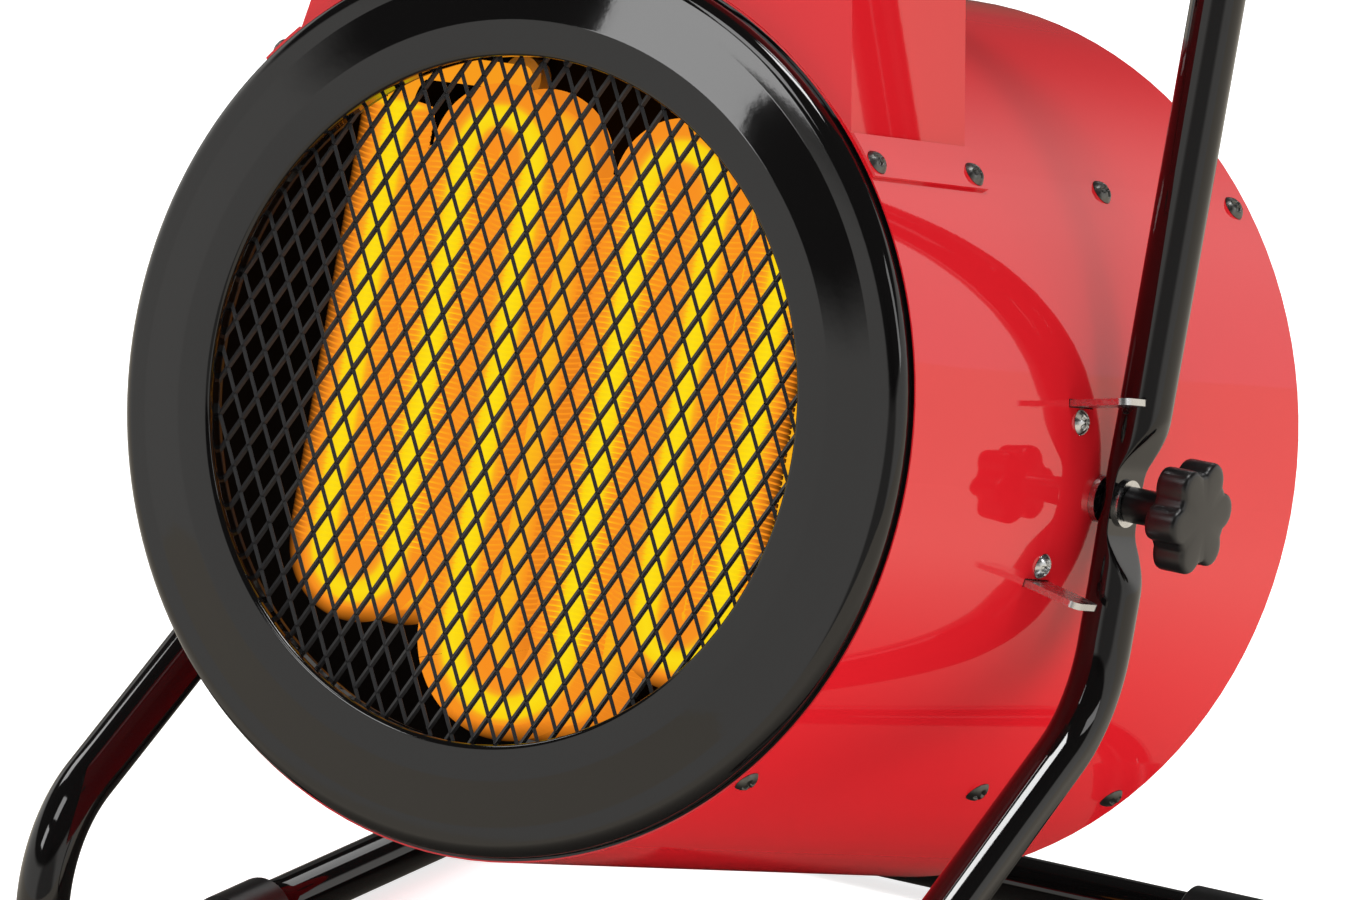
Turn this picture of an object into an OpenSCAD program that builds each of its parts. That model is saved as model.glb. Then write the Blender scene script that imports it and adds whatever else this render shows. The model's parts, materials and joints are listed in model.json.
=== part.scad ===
// Drum fan heater on a bent tube stand. A red sheet drum tilts between two clamp knobs.
// It holds a pressed front ring with expanded mesh, two finned elements and a rear axial fan.

/* [Drum] */
// Outside radius of the drum
drum_r = 137.5; // [130:0.5:140]
// Length of the drum along its axis
drum_len = 235; // [232:1:260]
// Sheet thickness of the drum
drum_wall = 1.2; // [0.8:0.1:1.6]
// Distance from the drum's front edge back to the tilt axis
pivot_back = 115; // [113:1:118]
// Upward tilt of the drum at rest
tilt = 16; // [2:1:16]
// Width of the turned-in flange at the drum's rear edge
rear_flange = 6; // [4:0.5:8]

/* [Front ring] */
// Radius of the outlet opening
open_r = 102.6; // [98:0.2:104]
// How far the outlet stands in front of the drum's edge
ring_reach = 10.4; // [9:0.2:14]
// Width of the flat band round the outlet
band_w = 10.8; // [10:0.2:14]
// Length of the skirt that slides into the drum
skirt_len = 14; // [12:0.5:16]
// Radius of the ring's rounded rim
rim_round = 5; // [3:0.5:6]
// Sheet thickness of the ring
ring_wall = 1; // [0.8:0.1:1.2]

/* [Mesh] */
// Width of one diamond of the expanded mesh
diamond_w = 8; // [7:0.1:12]
// Height of one diamond of the expanded mesh
diamond_h = 14.4; // [12:0.1:20]
// Width of a mesh strand
strand = 1.1; // [0.8:0.1:1.4]
// Thickness of the mesh
mesh_t = 1.2; // [0.8:0.1:1.6]

/* [Elements] */
// Radius of the element tube
element_r = 4; // [3:0.25:4.5]
// Outside radius of the element fins
fin_r = 11; // [9:0.25:11.5]
// Distance between neighbouring fins
fin_pitch = 5; // [4:0.25:8]
// Thickness of a fin
fin_t = 0.8; // [0.6:0.1:1.2]
// Distance from the drum's front edge to the front element
element_depth = 20; // [18:0.5:22]
// Distance between the front and the rear element
element_step = 26; // [25:0.5:30]

/* [Fan] */
// Tip radius of the fan
fan_r = 122; // [100:1:124]
// Number of fan blades
blade_count = 6; // [3:1:7]
// Pitch of the fan blades
blade_pitch = 15; // [10:1:16]
// Radius of the motor body
motor_r = 42; // [36:1:48]
// Radius of the motor shaft
shaft_r = 4; // [3:0.25:5]

/* [Control box] */
// Length of the control box along the drum
box_len = 67; // [66:1:74]
// Height of the box top above the top of the drum
box_top = 40.5; // [36:0.5:52]
// Inward lean of the box's side walls
box_lean = 11; // [6:0.5:14]
// Sheet thickness of the box
box_wall = 1.2; // [0.8:0.1:1.6]
// Angle above the horizontal at which the box walls meet the drum
box_angle = 44.5; // [44:0.5:48]

/* [Pivot] */
// Angle above and below the tilt axis at which a stop tab leaves the drum
tab_angle = 11.5; // [11:0.25:13]
// Reach of a stop tab beyond the drum
tab_reach = 19.5; // [17:0.5:22]
// Width of a stop tab along the drum
tab_len = 14; // [10:0.5:16]
// Travel up from the side tubes' line at which the upper tab meets the tube
travel_up = 1; // [0.5:0.5:3]
// Travel down from the side tubes' line at which the lower tab meets the tube
travel_down = 14.5; // [14:0.5:18]
// Radius of the clamp stud
stud_r = 3; // [2.5:0.25:4]
// Overall radius of the star knob
knob_r = 17.5; // [14:0.5:20]

/* [Stand] */
// Radius of the stand tube
tube_r = 8.2; // [7.6:0.1:8.6]
// Height of the tilt axis above the floor
pivot_z = 192; // [190:1:220]
// Distance from the drum's side out to the middle of a side tube
side_x = 10.3; // [9.9:0.1:16]
// Backward lean of the side tubes
side_back = 16; // [15.5:0.5:18]
// Distance up the side tubes from the tilt axis to the handle
handle_up = 250; // [246:1:290]
// Distance down the side tubes from the tilt axis to the knee
knee_drop = 63.4; // [62:0.2:68]
// Reach of the front legs ahead of the tilt axis
leg_reach = 143; // [138:1:150]
// Fall of the slanting leg below the horizontal
leg_slope = 27.2; // [24:0.2:28]
// Distance from the tilt axis back to the rear bar
rear_reach = 144.4; // [140:0.2:180]
// Radius of the foot sleeves and collars
sleeve_r = 11; // [10:0.25:12]
// Length of a foot sleeve
sleeve_len = 25; // [18:0.5:26]

/* [Hidden] */
$fn = 64;

// Clearances
slip = 0.2;
seat = 0.05;
run_fit = 0.06;
hole_gap = 0.3;
lap = 0.2;
bend_swell = 0.05;

// Places along the drum's axis, measured from the tilt axis, back is positive
front_y = -pivot_back;
rear_y = drum_len - pivot_back;
drum_in = drum_r - drum_wall;
fit_r = drum_in - slip;
tube_x = drum_r + side_x;
lid_z = drum_r + box_top;

// Front ring and mesh
rim_front = 2;
lip_depth = 5.6;
lip_y = front_y - ring_reach + lip_depth;
mesh_edge = 6;
mesh_margin = 2.4;
clamp_gap = 0.4;
clamp_over = 2;
clamp_t = 1.4;
rivet_r = 1.5;
rivet_count = 6;
rivet_ring = open_r + mesh_edge + rivet_r + 0.6;

// Screws through the drum
top_angle = 40.5;
low_angle = 44.5;
screw_r = 2;
head_r = 4;
head_h = 2.4;
ring_screw_back = 5;
ring_screw_y = front_y + ring_screw_back;
box_screw_edge = 4.4;
box_screw_y = front_y + box_len - box_screw_edge;
bracket_screw_back = 142;
bracket_screw_y = front_y + bracket_screw_back;
guard_screw_edge = 10;
guard_screw_y = rear_y - guard_screw_edge;
hole_back = 10;

// Heat shield between the ring's skirt and the motor bracket
shield_gap = 10.3;
shield_r = drum_in - shield_gap;
shield_wall = 0.8;
shield_room = 4;
spider_lug = 9;
shield_front = front_y + skirt_len + shield_room;
shield_rear = bracket_screw_y - spider_lug;

// Elements: leg places across the drum and ends of the bends
leg_in = 20;
leg_mid = 45;
leg_out = 71;
top_bend_z = 69.5;
mid_bend_z = -71;
side_bend_z = -53;
terminal_low = 34;
terminal_z = shield_r - terminal_low;
terminal_drop = 22;
terminal_bend = 12;
front_el_y = front_y + element_depth;
rear_el_y = front_el_y + element_step;
support_back = 92;
support_y = front_y + support_back;
support_t = 2;
support_h = 48;
support_z = terminal_z - terminal_drop / 2;
bush_r = 7;
bush_len = 16;
bush_shoulder = 2;
bush_flange = 6;
bare_end = 6;
cutout_r = 8;
cutout_len = 9;
cutout_flange_r = 12;
cutout_flange_t = 3;
spade_x = 4;
spade_t = 2;
spade_h = 6;
spade_len = 9;
spade_in = 1;

// Motor, shaft and fan
spider_y = bracket_screw_y + spider_lug;
spider_t = 2;
spider_edge = 6;
spider_hub = motor_r + spider_edge;
spider_arm = 18;
motor_y = spider_y + spider_t;
motor_len = 38;
motor_boss = 6;
boss_r = 12;
boss_slip = 0.5;
spigot = 4;
motor_taper = 10;
motor_ease = 8;
vent_margin = 4;
vent_depth = 1.5;
vent_w = 6;
shaft_in = 9;
shaft_room = 1;
shaft_over = 1;
fan_hub_r = 20;
fan_gap = 2;
fan_y = motor_y + motor_len + motor_boss + fan_gap;
fan_hub_len = 24;
blade_t = 1.4;
blade_camber = 85;
blade_tip = 92;
blade_root = 38;
hub_ease = 3;
blade_sink = 4;
blade_sag = 2;
blade_over = 5;
nut_r = 7.5;
nut_h = 5;
guard_wire = 1.6;
guard_y = rear_y - drum_wall - guard_wire - 0.2;
guard_step = 12;
guard_hub = 24;
guard_arm = 16;
guard_lug = 7;
guard_lug_t = 1.5;
spoke_in = 6;
spoke_sink = 0.6;

// Control box
box_front = front_y + 0.5;
box_rear = box_front + box_len;
base_x = drum_r * cos(box_angle);
base_z = drum_r * sin(box_angle);
top_x = base_x - (lid_z - base_z) * tan(box_lean);
flange_deg = 6;
panel_t = 1.5;
panel_w = 132;
panel_inset = 9;
control_x = 38;
control_y = (box_front + box_rear) / 2;
bush_thread = 5;
bush_top = 6;
switch_w = 34;
switch_h = 26;
spindle_r = 3;
dial_r = 17;
dial_h = 17;
lamp_r = 5;
wire_hole = 14;
block_w = 40;
block_d = 11;
block_h = 14;
block_ways = 4;
gland_r = 8;
gland_x = 45;
gland_z = (drum_r + lid_z) / 2;

// Pivot parts
plate_t = 1.8;
tab_t = 2;
tab_round = 3;
stop_gap = 0.5;
screw_deg = 2.3;
edge_deg = 4;
tab_z = (tube_x + tube_r) * tan(tab_angle) + tab_t;
tab_top = -(tube_r + stop_gap + tab_z * sin(travel_up)) / cos(travel_up);
tab_low = -(tube_r + stop_gap + tab_z * sin(travel_down)) / cos(travel_down);
bracket_deg = tab_angle - screw_deg;
plate_deg = tab_angle + edge_deg;
plate_edge = 3;
plate_front = tab_low - tab_len - plate_edge;
plate_rear = 14;
flat_t = 7;
flat_h = 10;
press_h = 25;
flat_in = tube_x - tube_r;
flat_out = flat_in + flat_t;
weld_nut = 5;
weld_wall = 3.4;
weld_sink = 0.6;
stud_over = 1;
stud_in = 2;
washer_t = 1.2;
washer_r = 7.2;
hub_r = 5.4;
hub_len = 15;
knob_t = 11;
lobes = 6;

// Stand
sole_cut = 0.8;
floor_z = sleeve_r - sole_cut;
bend_floor = 26;
bend_shin = 44;
bend_knee = 48;
bend_handle = 55;
bend_rear = 33;
collar_ahead = 34.6;
band_end = (ring_reach + pivot_back) * cos(tilt) + (open_r + band_w) * sin(tilt);
rim_end = (pivot_back + rim_front) * cos(tilt) + (fit_r - rim_round) * sin(tilt) + rim_round;
front_end = max(band_end, rim_end, leg_reach + tube_r + bend_swell);
rear_end = max(rear_reach + sleeve_r, rear_y * cos(tilt) + drum_r * sin(tilt));
pivot_y = (front_end - rear_end) / 2;
collar_y = pivot_y - collar_ahead;
leg_y = pivot_y - leg_reach;
bar_y = pivot_y + rear_reach;
front_foot_y = leg_y + bend_floor + sleeve_len / 2 + 5;
rear_foot_x = tube_x - bend_rear - sleeve_len / 2;

// Places a piece that is drawn round the tilt axis, y along the drum's axis
module in_drum() {
  translate([0, pivot_y, pivot_z]) rotate([-tilt, 0, 0]) children();
}

// Turns a profile of radius and axial place about the drum's axis
module about_axis() {
  rotate([-90, 0, 0]) children();
}

module revolved(points) {
  about_axis() rotate_extrude($fn = 128) polygon(points);
}

// Ring of rectangular section about the drum's axis
module band(r_in, r_out, y0, y1) {
  revolved([[r_in, y0], [r_out, y0], [r_out, y1], [r_in, y1]]);
}

module on_axis(y0, y1, r) {
  translate([0, y0, 0]) about_axis() cylinder(r = r, h = y1 - y0);
}

// Sends a shape drawn along x out through the drum wall at an angle above the horizontal
module radial(angle, y) {
  translate([0, y, 0]) rotate([0, -angle, 0]) children();
}

module both_sides() {
  for (side = [0, 1]) mirror([side, 0, 0]) children();
}

// Extrudes an outline of x and z from y0 back to y1
module across(y0, y1) {
  translate([0, y1, 0]) rotate([90, 0, 0]) linear_extrude(y1 - y0) children();
}

// Part of a ring about the axis between two angles, less than half a turn
module ring_sector(r_in, r_out, y0, y1, from, to) {
  intersection() {
    band(r_in, r_out, y0, y1);
    across(y0 - 1, y1 + 1)
      polygon([[0, 0], 2 * r_out * [cos(from), sin(from)],
        2 * r_out * [cos((from + to) / 2), sin((from + to) / 2)], 2 * r_out * [cos(to), sin(to)]]);
  }
}

// Straight tube between two points, run a little way into the bends at its ends
module rod(from, to, r) {
  run = to - from;
  translate(from - unit(run) * lap) rotate([0, acos(run.z / norm(run)), atan2(run.y, run.x)])
    cylinder(r = r, h = norm(run) + 2 * lap);
}

function unit(v) = v / norm(v);
function bend_angle(a, b, c) = acos(unit(b - a) * unit(c - b));
function bend_setback(a, b, c, bend) = bend * tan(bend_angle(a, b, c) / 2);
function bend_start(a, b, c, bend) = b - unit(b - a) * bend_setback(a, b, c, bend);
function bend_end(a, b, c, bend) = b + unit(c - b) * bend_setback(a, b, c, bend);

// Quarter of a torus or less that turns a tube from the run a-b to the run b-c
module elbow(a, b, c, bend, r) {
  angle = bend_angle(a, b, c);
  ahead = unit(b - a);
  inward = unit(unit(c - b) - ahead * cos(angle));
  centre = bend_start(a, b, c, bend) + inward * bend;
  axis = cross(-inward, ahead);
  multmatrix([[-inward.x, ahead.x, axis.x, centre.x], [-inward.y, ahead.y, axis.y, centre.y],
    [-inward.z, ahead.z, axis.z, centre.z], [0, 0, 0, 1]])
    rotate_extrude(angle = angle) translate([bend, 0]) circle(r = r + bend_swell);
}

// Front edge of the upper or the lower stop tab, and the bracket screw between tab and stud
function tab_front(side) = (side > 0 ? tab_top : tab_low) - tab_len;
function bracket_y(side) = tab_front(side) + tab_len / 2;

// Domed screw along x with its head seated at x
module dome_screw(x, shank) {
  ball = (head_r * head_r + head_h * head_h) / (2 * head_h);
  rise = asin(head_r / ball);
  dome = [for (i = [0 : 6]) [ball * sin(rise * (1 - i / 6)), head_h - ball + ball * cos(rise * (1 - i / 6))]];
  translate([x, 0, 0]) rotate([0, 90, 0]) rotate_extrude($fn = 32)
    polygon(concat([[0, -shank], [screw_r, -shank], [screw_r, 0]], dome));
}

module screw_hole(angle, y, reach) {
  radial(angle, y) translate([reach, 0, 0]) rotate([0, 90, 0])
    cylinder(r = screw_r + hole_gap, h = 2 * hole_back);
}

module drum_shell() {
  color("firebrick") in_drum() difference() {
    revolved([[drum_in, front_y], [drum_r, front_y], [drum_r, rear_y], [drum_r - rear_flange, rear_y],
      [drum_r - rear_flange, rear_y - drum_wall], [drum_in, rear_y - drum_wall]]);
    both_sides() {
      for (angle = [-low_angle, top_angle], y = [ring_screw_y, bracket_screw_y, guard_screw_y])
        screw_hole(angle, y, drum_in - hole_back);
      screw_hole(top_angle, box_screw_y, drum_in - hole_back);
      for (side = [-1, 1]) {
        screw_hole(side * bracket_deg, bracket_y(side), drum_in - hole_back);
        radial(side * tab_angle, tab_front(side) - hole_gap)
          translate([drum_in - hole_back, 0, -tab_t / 2 - hole_gap])
            cube([2 * hole_back, tab_len + 2 * hole_gap, tab_t + 2 * hole_gap]);
      }
      rotate([0, 90, 0]) cylinder(r = stud_r + hole_gap, h = drum_r + 5);
    }
    translate([0, control_y, drum_r / 2]) cylinder(r = wire_hole, h = drum_r);
  }
}

module front_ring() {
  arc = [0 : 15 : 90];
  rim_c = fit_r - rim_round;
  rim_y = front_y - rim_front;
  face_y = front_y - ring_reach;
  outer = concat([[fit_r, front_y + skirt_len]],
    [for (a = arc) [rim_c + rim_round * cos(a), rim_y - rim_round * sin(a)]],
    [[open_r + band_w, face_y], [open_r, face_y], [open_r, lip_y]]);
  inner_round = rim_round - ring_wall;
  inner = concat([[open_r + ring_wall, lip_y], [open_r + ring_wall, face_y + ring_wall],
    [open_r + band_w, face_y + ring_wall]],
    [for (a = arc) [rim_c + inner_round * sin(a), rim_y - inner_round * cos(a)]],
    [[fit_r - ring_wall, front_y + skirt_len]]);
  color("dimgray") in_drum() difference() {
    revolved(concat(outer, inner));
    both_sides() for (angle = [-low_angle, top_angle]) screw_hole(angle, ring_screw_y, drum_in - hole_back);
  }
}

module diamond_holes(reach) {
  half = [diamond_w, diamond_h] / 2;
  edge = half.x * half.y / norm(half);
  shrink = 1 - strand / 2 / edge;
  rows = ceil(reach / half.y);
  columns = ceil(reach / diamond_w) + 1;
  for (row = [-rows : rows], column = [-columns : columns]) {
    centre = [(column + (row % 2 == 0 ? 0 : 0.5)) * diamond_w, row * half.y];
    corners = [for (step = [[1, 0], [0, 1], [-1, 0], [0, -1]])
      centre + shrink * [half.x * step.x, half.y * step.y]];
    inside = len([for (p = corners) if (norm(p) < reach) p]);
    if (inside == 4) polygon(corners);
    if (inside > 1 && inside < 4) intersection() {
      polygon(corners);
      circle(r = reach);
    }
  }
}

module mesh_grille() {
  reach = open_r + mesh_edge;
  color("darkslategray") in_drum() across(lip_y, lip_y + mesh_t) difference() {
    circle(r = reach);
    diamond_holes(open_r + mesh_margin);
  }
}

module rivets(r) {
  for (i = [0 : rivet_count - 1])
    rotate([0, 360 / rivet_count * (i + 0.5), 0]) translate([rivet_ring, 0, 0])
      on_axis(front_y - ring_reach + ring_wall, lip_y + mesh_t + clamp_t + 0.8, r);
}

module mesh_clamp_ring() {
  color("gray") in_drum() difference() {
    band(open_r + clamp_gap, open_r + band_w + clamp_over, lip_y + mesh_t, lip_y + mesh_t + clamp_t);
    rivets(rivet_r + seat);
  }
}

module mesh_rivets() {
  color("dimgray") in_drum() rivets(rivet_r);
}

module heat_shield() {
  outer = shield_r + shield_wall;
  color("lightgray") in_drum()
    revolved([[shield_r, shield_front], [fit_r, shield_front], [fit_r, shield_front + shield_wall],
      [outer, shield_front + shield_wall], [outer, shield_rear - shield_wall],
      [fit_r, shield_rear - shield_wall], [fit_r, shield_rear], [shield_r, shield_rear]]);
}

// Straight element leg from z0 up to z1 with pressed-on fins below a bare end
module finned_leg(x, z0, z1, bare = 0) {
  room = z1 - z0 - bare;
  count = floor((room - 2 * fin_t) / fin_pitch);
  first = z0 + (room - count * fin_pitch) / 2;
  comb = [for (i = [0 : count], edge = [[element_r, -1], [fin_r, -1], [fin_r, 1], [element_r, 1]])
    [edge[0], first + i * fin_pitch + edge[1] * fin_t / 2]];
  translate([x, 0, 0]) rotate_extrude() polygon(concat([[0, z0], [element_r, z0]], comb,
    [[element_r, z1], [0, z1]]));
}

// Half-turn of bare tube from x0 to x1, over the top or under the bottom
module u_bend(x0, x1, z, up) {
  translate([(x0 + x1) / 2, 0, z]) rotate([90, 0, 0]) rotate(up ? 0 : 180)
    rotate_extrude(angle = 180) translate([abs(x1 - x0) / 2, 0]) circle(r = element_r);
}

// Six-legged serpentine whose two ends turn back to the terminals
module element(end_z, end_y) {
  u_bend(-leg_in, leg_in, mid_bend_z, false);
  both_sides() {
    finned_leg(leg_in, mid_bend_z, top_bend_z);
    finned_leg(leg_mid, side_bend_z, top_bend_z);
    u_bend(leg_in, leg_mid, top_bend_z, true);
    u_bend(leg_mid, leg_out, side_bend_z, false);
    foot = [leg_out, 0, side_bend_z];
    corner = [leg_out, 0, end_z];
    tail = [leg_out, end_y, end_z];
    finned_leg(leg_out, side_bend_z, end_z - terminal_bend + lap, bare_end);
    elbow(foot, corner, tail, terminal_bend, element_r);
    rod([leg_out, terminal_bend, end_z], tail, element_r);
  }
}

module front_element() {
  color("orange") in_drum() translate([0, front_el_y, 0])
    element(terminal_z, support_y + support_t + bush_len - front_el_y);
}

module rear_element() {
  color("darkorange") in_drum() translate([0, rear_el_y, 0])
    element(terminal_z - terminal_drop, support_y + support_t + bush_len - rear_el_y);
}

// Places a piece at each element terminal
module at_terminals() {
  both_sides() for (z = [terminal_z, terminal_z - terminal_drop]) translate([leg_out, 0, z]) children();
}

module element_support() {
  color("silver") in_drum() difference() {
    intersection() {
      on_axis(support_y, support_y + support_t, shield_r - slip);
      translate([-drum_r, support_y - 1, support_z - support_h / 2])
        cube([2 * drum_r, support_t + 2, support_h]);
    }
    at_terminals() on_axis(support_y - 1, support_y + support_t + 1, bush_r - bush_shoulder);
    translate([0, 0, support_z]) on_axis(support_y - 1, support_y + support_t + 1, screw_r);
  }
}

module element_bushes() {
  color("ivory") in_drum() at_terminals() difference() {
    union() {
      on_axis(support_y - bush_flange, support_y, bush_r);
      on_axis(support_y - 1, support_y + support_t + bush_flange, bush_r - bush_shoulder - seat);
    }
    on_axis(support_y - 2 * bush_flange, support_y + support_t + 2 * bush_flange, element_r + seat);
  }
}

module thermal_cutout() {
  color("black") in_drum() translate([0, 0, support_z]) {
    back = support_y + support_t;
    on_axis(back, back + cutout_flange_t, cutout_flange_r);
    on_axis(back, back + cutout_len, cutout_r);
    for (x = [-spade_x, spade_x]) translate([x - spade_t / 2, back + cutout_len - spade_in, -spade_h / 2])
      cube([spade_t, spade_len, spade_h]);
  }
}

module motor_bracket() {
  color("gainsboro") in_drum() difference() {
    union() {
      on_axis(spider_y, spider_y + spider_t, spider_hub);
      intersection() {
        on_axis(spider_y, spider_y + spider_t, fit_r);
        spider_arms(spider_y - 1, spider_y + spider_t + 1);
      }
      intersection() {
        band(fit_r - spider_t, fit_r, shield_rear, spider_y + spider_t);
        spider_arms(shield_rear - 1, spider_y + spider_t + 1);
      }
    }
    both_sides() for (angle = [-low_angle, top_angle])
      screw_hole(angle, bracket_screw_y, fit_r - hole_back);
    on_axis(spider_y - 1, spider_y + spider_t + 1, boss_r);
  }
}

module spider_arms(y0, y1) {
  both_sides() for (angle = [-low_angle, top_angle]) rotate([0, -angle, 0])
    translate([0, y0, -spider_arm / 2]) cube([drum_r, y1 - y0, spider_arm]);
}

module fan_motor() {
  back = motor_y + motor_len;
  color("slategray") in_drum() difference() {
    revolved([[0, motor_y - spider_t - spigot], [boss_r - boss_slip, motor_y - spider_t - spigot],
      [boss_r - boss_slip, motor_y], [motor_r, motor_y], [motor_r, back - motor_taper],
      [motor_r - motor_ease, back], [boss_r, back], [boss_r, back + motor_boss], [0, back + motor_boss]]);
    on_axis(motor_y + shaft_in - shaft_room, back + motor_boss + 1, shaft_r + run_fit);
    for (i = [0 : 11]) rotate([0, 30 * i, 0])
      translate([motor_r - vent_depth, motor_y + vent_margin, -vent_w / 2])
        cube([2 * vent_depth, motor_len - motor_taper - 2 * vent_margin, vent_w]);
  }
}

module motor_shaft() {
  color("silver") in_drum() on_axis(motor_y + shaft_in, fan_y + fan_hub_len + nut_h + shaft_over, shaft_r);
}

module blade_outline() {
  intersection() {
    circle(r = fan_r);
    polygon([[fan_hub_r - blade_sink, -blade_root / 2], [fan_r + blade_over, -blade_tip / 2],
      [fan_r + blade_over, blade_tip / 2], [fan_hub_r - blade_sink, blade_root / 2]]);
  }
}

module fan_blades() {
  middle = fan_y + fan_hub_len / 2;
  color("darkgray") in_drum() {
    difference() {
      revolved([[0, fan_y], [fan_hub_r - hub_ease, fan_y], [fan_hub_r, fan_y + hub_ease],
        [fan_hub_r, fan_y + fan_hub_len], [0, fan_y + fan_hub_len]]);
      on_axis(fan_y - 1, fan_y + fan_hub_len + 1, shaft_r + seat);
    }
    for (i = [0 : blade_count - 1]) rotate([0, 360 / blade_count * i, 0])
      translate([0, middle, 0]) rotate([blade_pitch, 0, 0]) difference() {
        intersection() {
          across(-blade_camber, blade_camber) blade_outline();
          translate([0, blade_camber - blade_sag, 0]) rotate([0, 90, 0]) difference() {
            cylinder(r = blade_camber + blade_t / 2, h = fan_r + 10);
            translate([0, 0, -1]) cylinder(r = blade_camber - blade_t / 2, h = fan_r + 12);
          }
          translate([0, -blade_camber, -blade_camber]) cube([fan_r + 10, blade_camber, 2 * blade_camber]);
        }
        rotate([-blade_pitch, 0, 0]) on_axis(-blade_camber, blade_camber, fan_hub_r - blade_sag);
      }
  }
}

module fan_nut() {
  color("silver") in_drum() difference() {
    translate([0, fan_y + fan_hub_len, 0]) about_axis() cylinder(r = nut_r, h = nut_h, $fn = 6);
    on_axis(fan_y, fan_y + 2 * fan_hub_len, shaft_r + seat);
  }
}

module rear_guard() {
  outer = drum_r - rear_flange - guard_wire;
  spoke_y = guard_y - 2 * guard_wire + spoke_sink;
  color("black") in_drum() {
    for (r = [guard_hub + guard_step : guard_step : outer + guard_step / 2])
      translate([0, guard_y, 0]) about_axis() rotate_extrude($fn = 128)
        translate([min(r, outer), 0]) circle(r = guard_wire);
    on_axis(guard_y - guard_wire, guard_y, guard_hub);
    for (turn = [top_angle, 180 - top_angle, 180 + low_angle, -low_angle]) rotate([0, -turn, 0])
      rod([guard_hub - spoke_in, spoke_y, 0], [fit_r - 1, spoke_y, 0], guard_wire);
    difference() {
      intersection() {
        band(fit_r - guard_lug_t, fit_r, guard_screw_y - guard_lug, guard_y - guard_wire);
        both_sides() for (angle = [-low_angle, top_angle]) rotate([0, -angle, 0])
          translate([0, guard_screw_y - guard_lug - 1, -guard_arm / 2]) cube([drum_r, drum_len, guard_arm]);
      }
      both_sides() for (angle = [-low_angle, top_angle]) screw_hole(angle, guard_screw_y, fit_r - hole_back);
    }
  }
}

// Cross-section of the control box, drawn in by a wall
module box_outline(inset) {
  low = drum_r * 0.6;
  low_x = base_x + (base_z - low) * tan(box_lean);
  slant = inset / cos(box_lean);
  polygon([[-low_x + slant, low], [low_x - slant, low],
    [top_x - slant + inset * tan(box_lean), lid_z - inset],
    [-top_x + slant - inset * tan(box_lean), lid_z - inset]]);
}

// Through-holes for the two control bushes and the lamp
module control_holes() {
  for (x = [-control_x, control_x]) translate([x, control_y, lid_z - 20])
    cylinder(r = bush_thread + hole_gap, h = 40);
  translate([0, control_y, lid_z - 20]) cylinder(r = lamp_r + hole_gap, h = 40);
}

module control_box() {
  foot_r = drum_r + seat;
  color("firebrick") in_drum() difference() {
    union() {
      difference() {
        across(box_front, box_rear) box_outline(0);
        across(box_front + box_wall, box_rear - box_wall) box_outline(box_wall);
        on_axis(box_front - 1, box_rear + 1, foot_r);
      }
      both_sides()
        ring_sector(foot_r, foot_r + box_wall, box_front, box_rear, box_angle - flange_deg, box_angle + 0.2);
    }
    both_sides() for (y = [ring_screw_y, box_screw_y]) screw_hole(top_angle, y, drum_in - hole_back);
    control_holes();
    translate([gland_x, box_rear, gland_z]) on_axis(-10, 10, gland_r - 2 + hole_gap);
  }
}

module control_panel() {
  depth = box_len - 2 * panel_inset;
  color("black") in_drum() difference() {
    translate([-panel_w / 2, box_front + panel_inset, lid_z]) cube([panel_w, depth, panel_t]);
    control_holes();
  }
}

// Boxed switch under the panel with a threaded bush and its nut
module rotary_control(x) {
  under = lid_z - box_wall;
  over = lid_z + panel_t;
  color("black") in_drum() translate([x, control_y, 0]) difference() {
    union() {
      translate([-switch_w / 2, -switch_w / 2, under - switch_h]) cube([switch_w, switch_w, switch_h]);
      translate([0, 0, under - 2]) cylinder(r = bush_thread, h = over - under + bush_top);
      translate([0, 0, over]) cylinder(r = bush_thread + 3, h = 2.5, $fn = 6);
    }
    translate([0, 0, under - 14]) cylinder(r = spindle_r + run_fit, h = 60);
  }
}

module selector_switch() {
  rotary_control(control_x);
}

module thermostat() {
  rotary_control(-control_x);
}

// Control knob with a hollow skirt over the nut and a spindle that runs in the bush
module dial(x, grip) {
  foot = lid_z + panel_t + 0.6;
  crown = foot + dial_h;
  color("black") in_drum() translate([x, control_y, 0]) {
    difference() {
      union() {
        translate([0, 0, foot]) cylinder(r = dial_r, h = 4);
        translate([0, 0, foot]) cylinder(r1 = dial_r - 2, r2 = dial_r - 4, h = grip);
        translate([0, 0, foot + grip]) intersection() {
          cylinder(r = dial_r - 4, h = dial_h - grip);
          translate([-4.5, -dial_r, 0]) cube([9, 2 * dial_r, dial_h - grip]);
        }
      }
      translate([0, 0, foot - 1]) cylinder(r = bush_thread + 4, h = bush_top + 2);
    }
    translate([0, 0, lid_z - box_wall - 12]) cylinder(r = spindle_r, h = crown - 4 - lid_z + box_wall + 12);
  }
}

module selector_knob() {
  dial(control_x, 8);
}

module thermostat_knob() {
  dial(-control_x, 12);
}

module pilot_lamp() {
  over = lid_z + panel_t;
  color("orangered") in_drum() translate([0, control_y, 0]) {
    translate([0, 0, lid_z - 18]) cylinder(r = lamp_r, h = 18 + panel_t + 0.5);
    translate([0, 0, over]) cylinder(r1 = lamp_r + 2, r2 = lamp_r + 1, h = 1.5);
    translate([0, 0, over + 1.5 - 4]) intersection() {
      sphere(r = lamp_r + 1);
      translate([0, 0, 4]) cylinder(r = lamp_r + 1, h = lamp_r);
    }
  }
}

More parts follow.
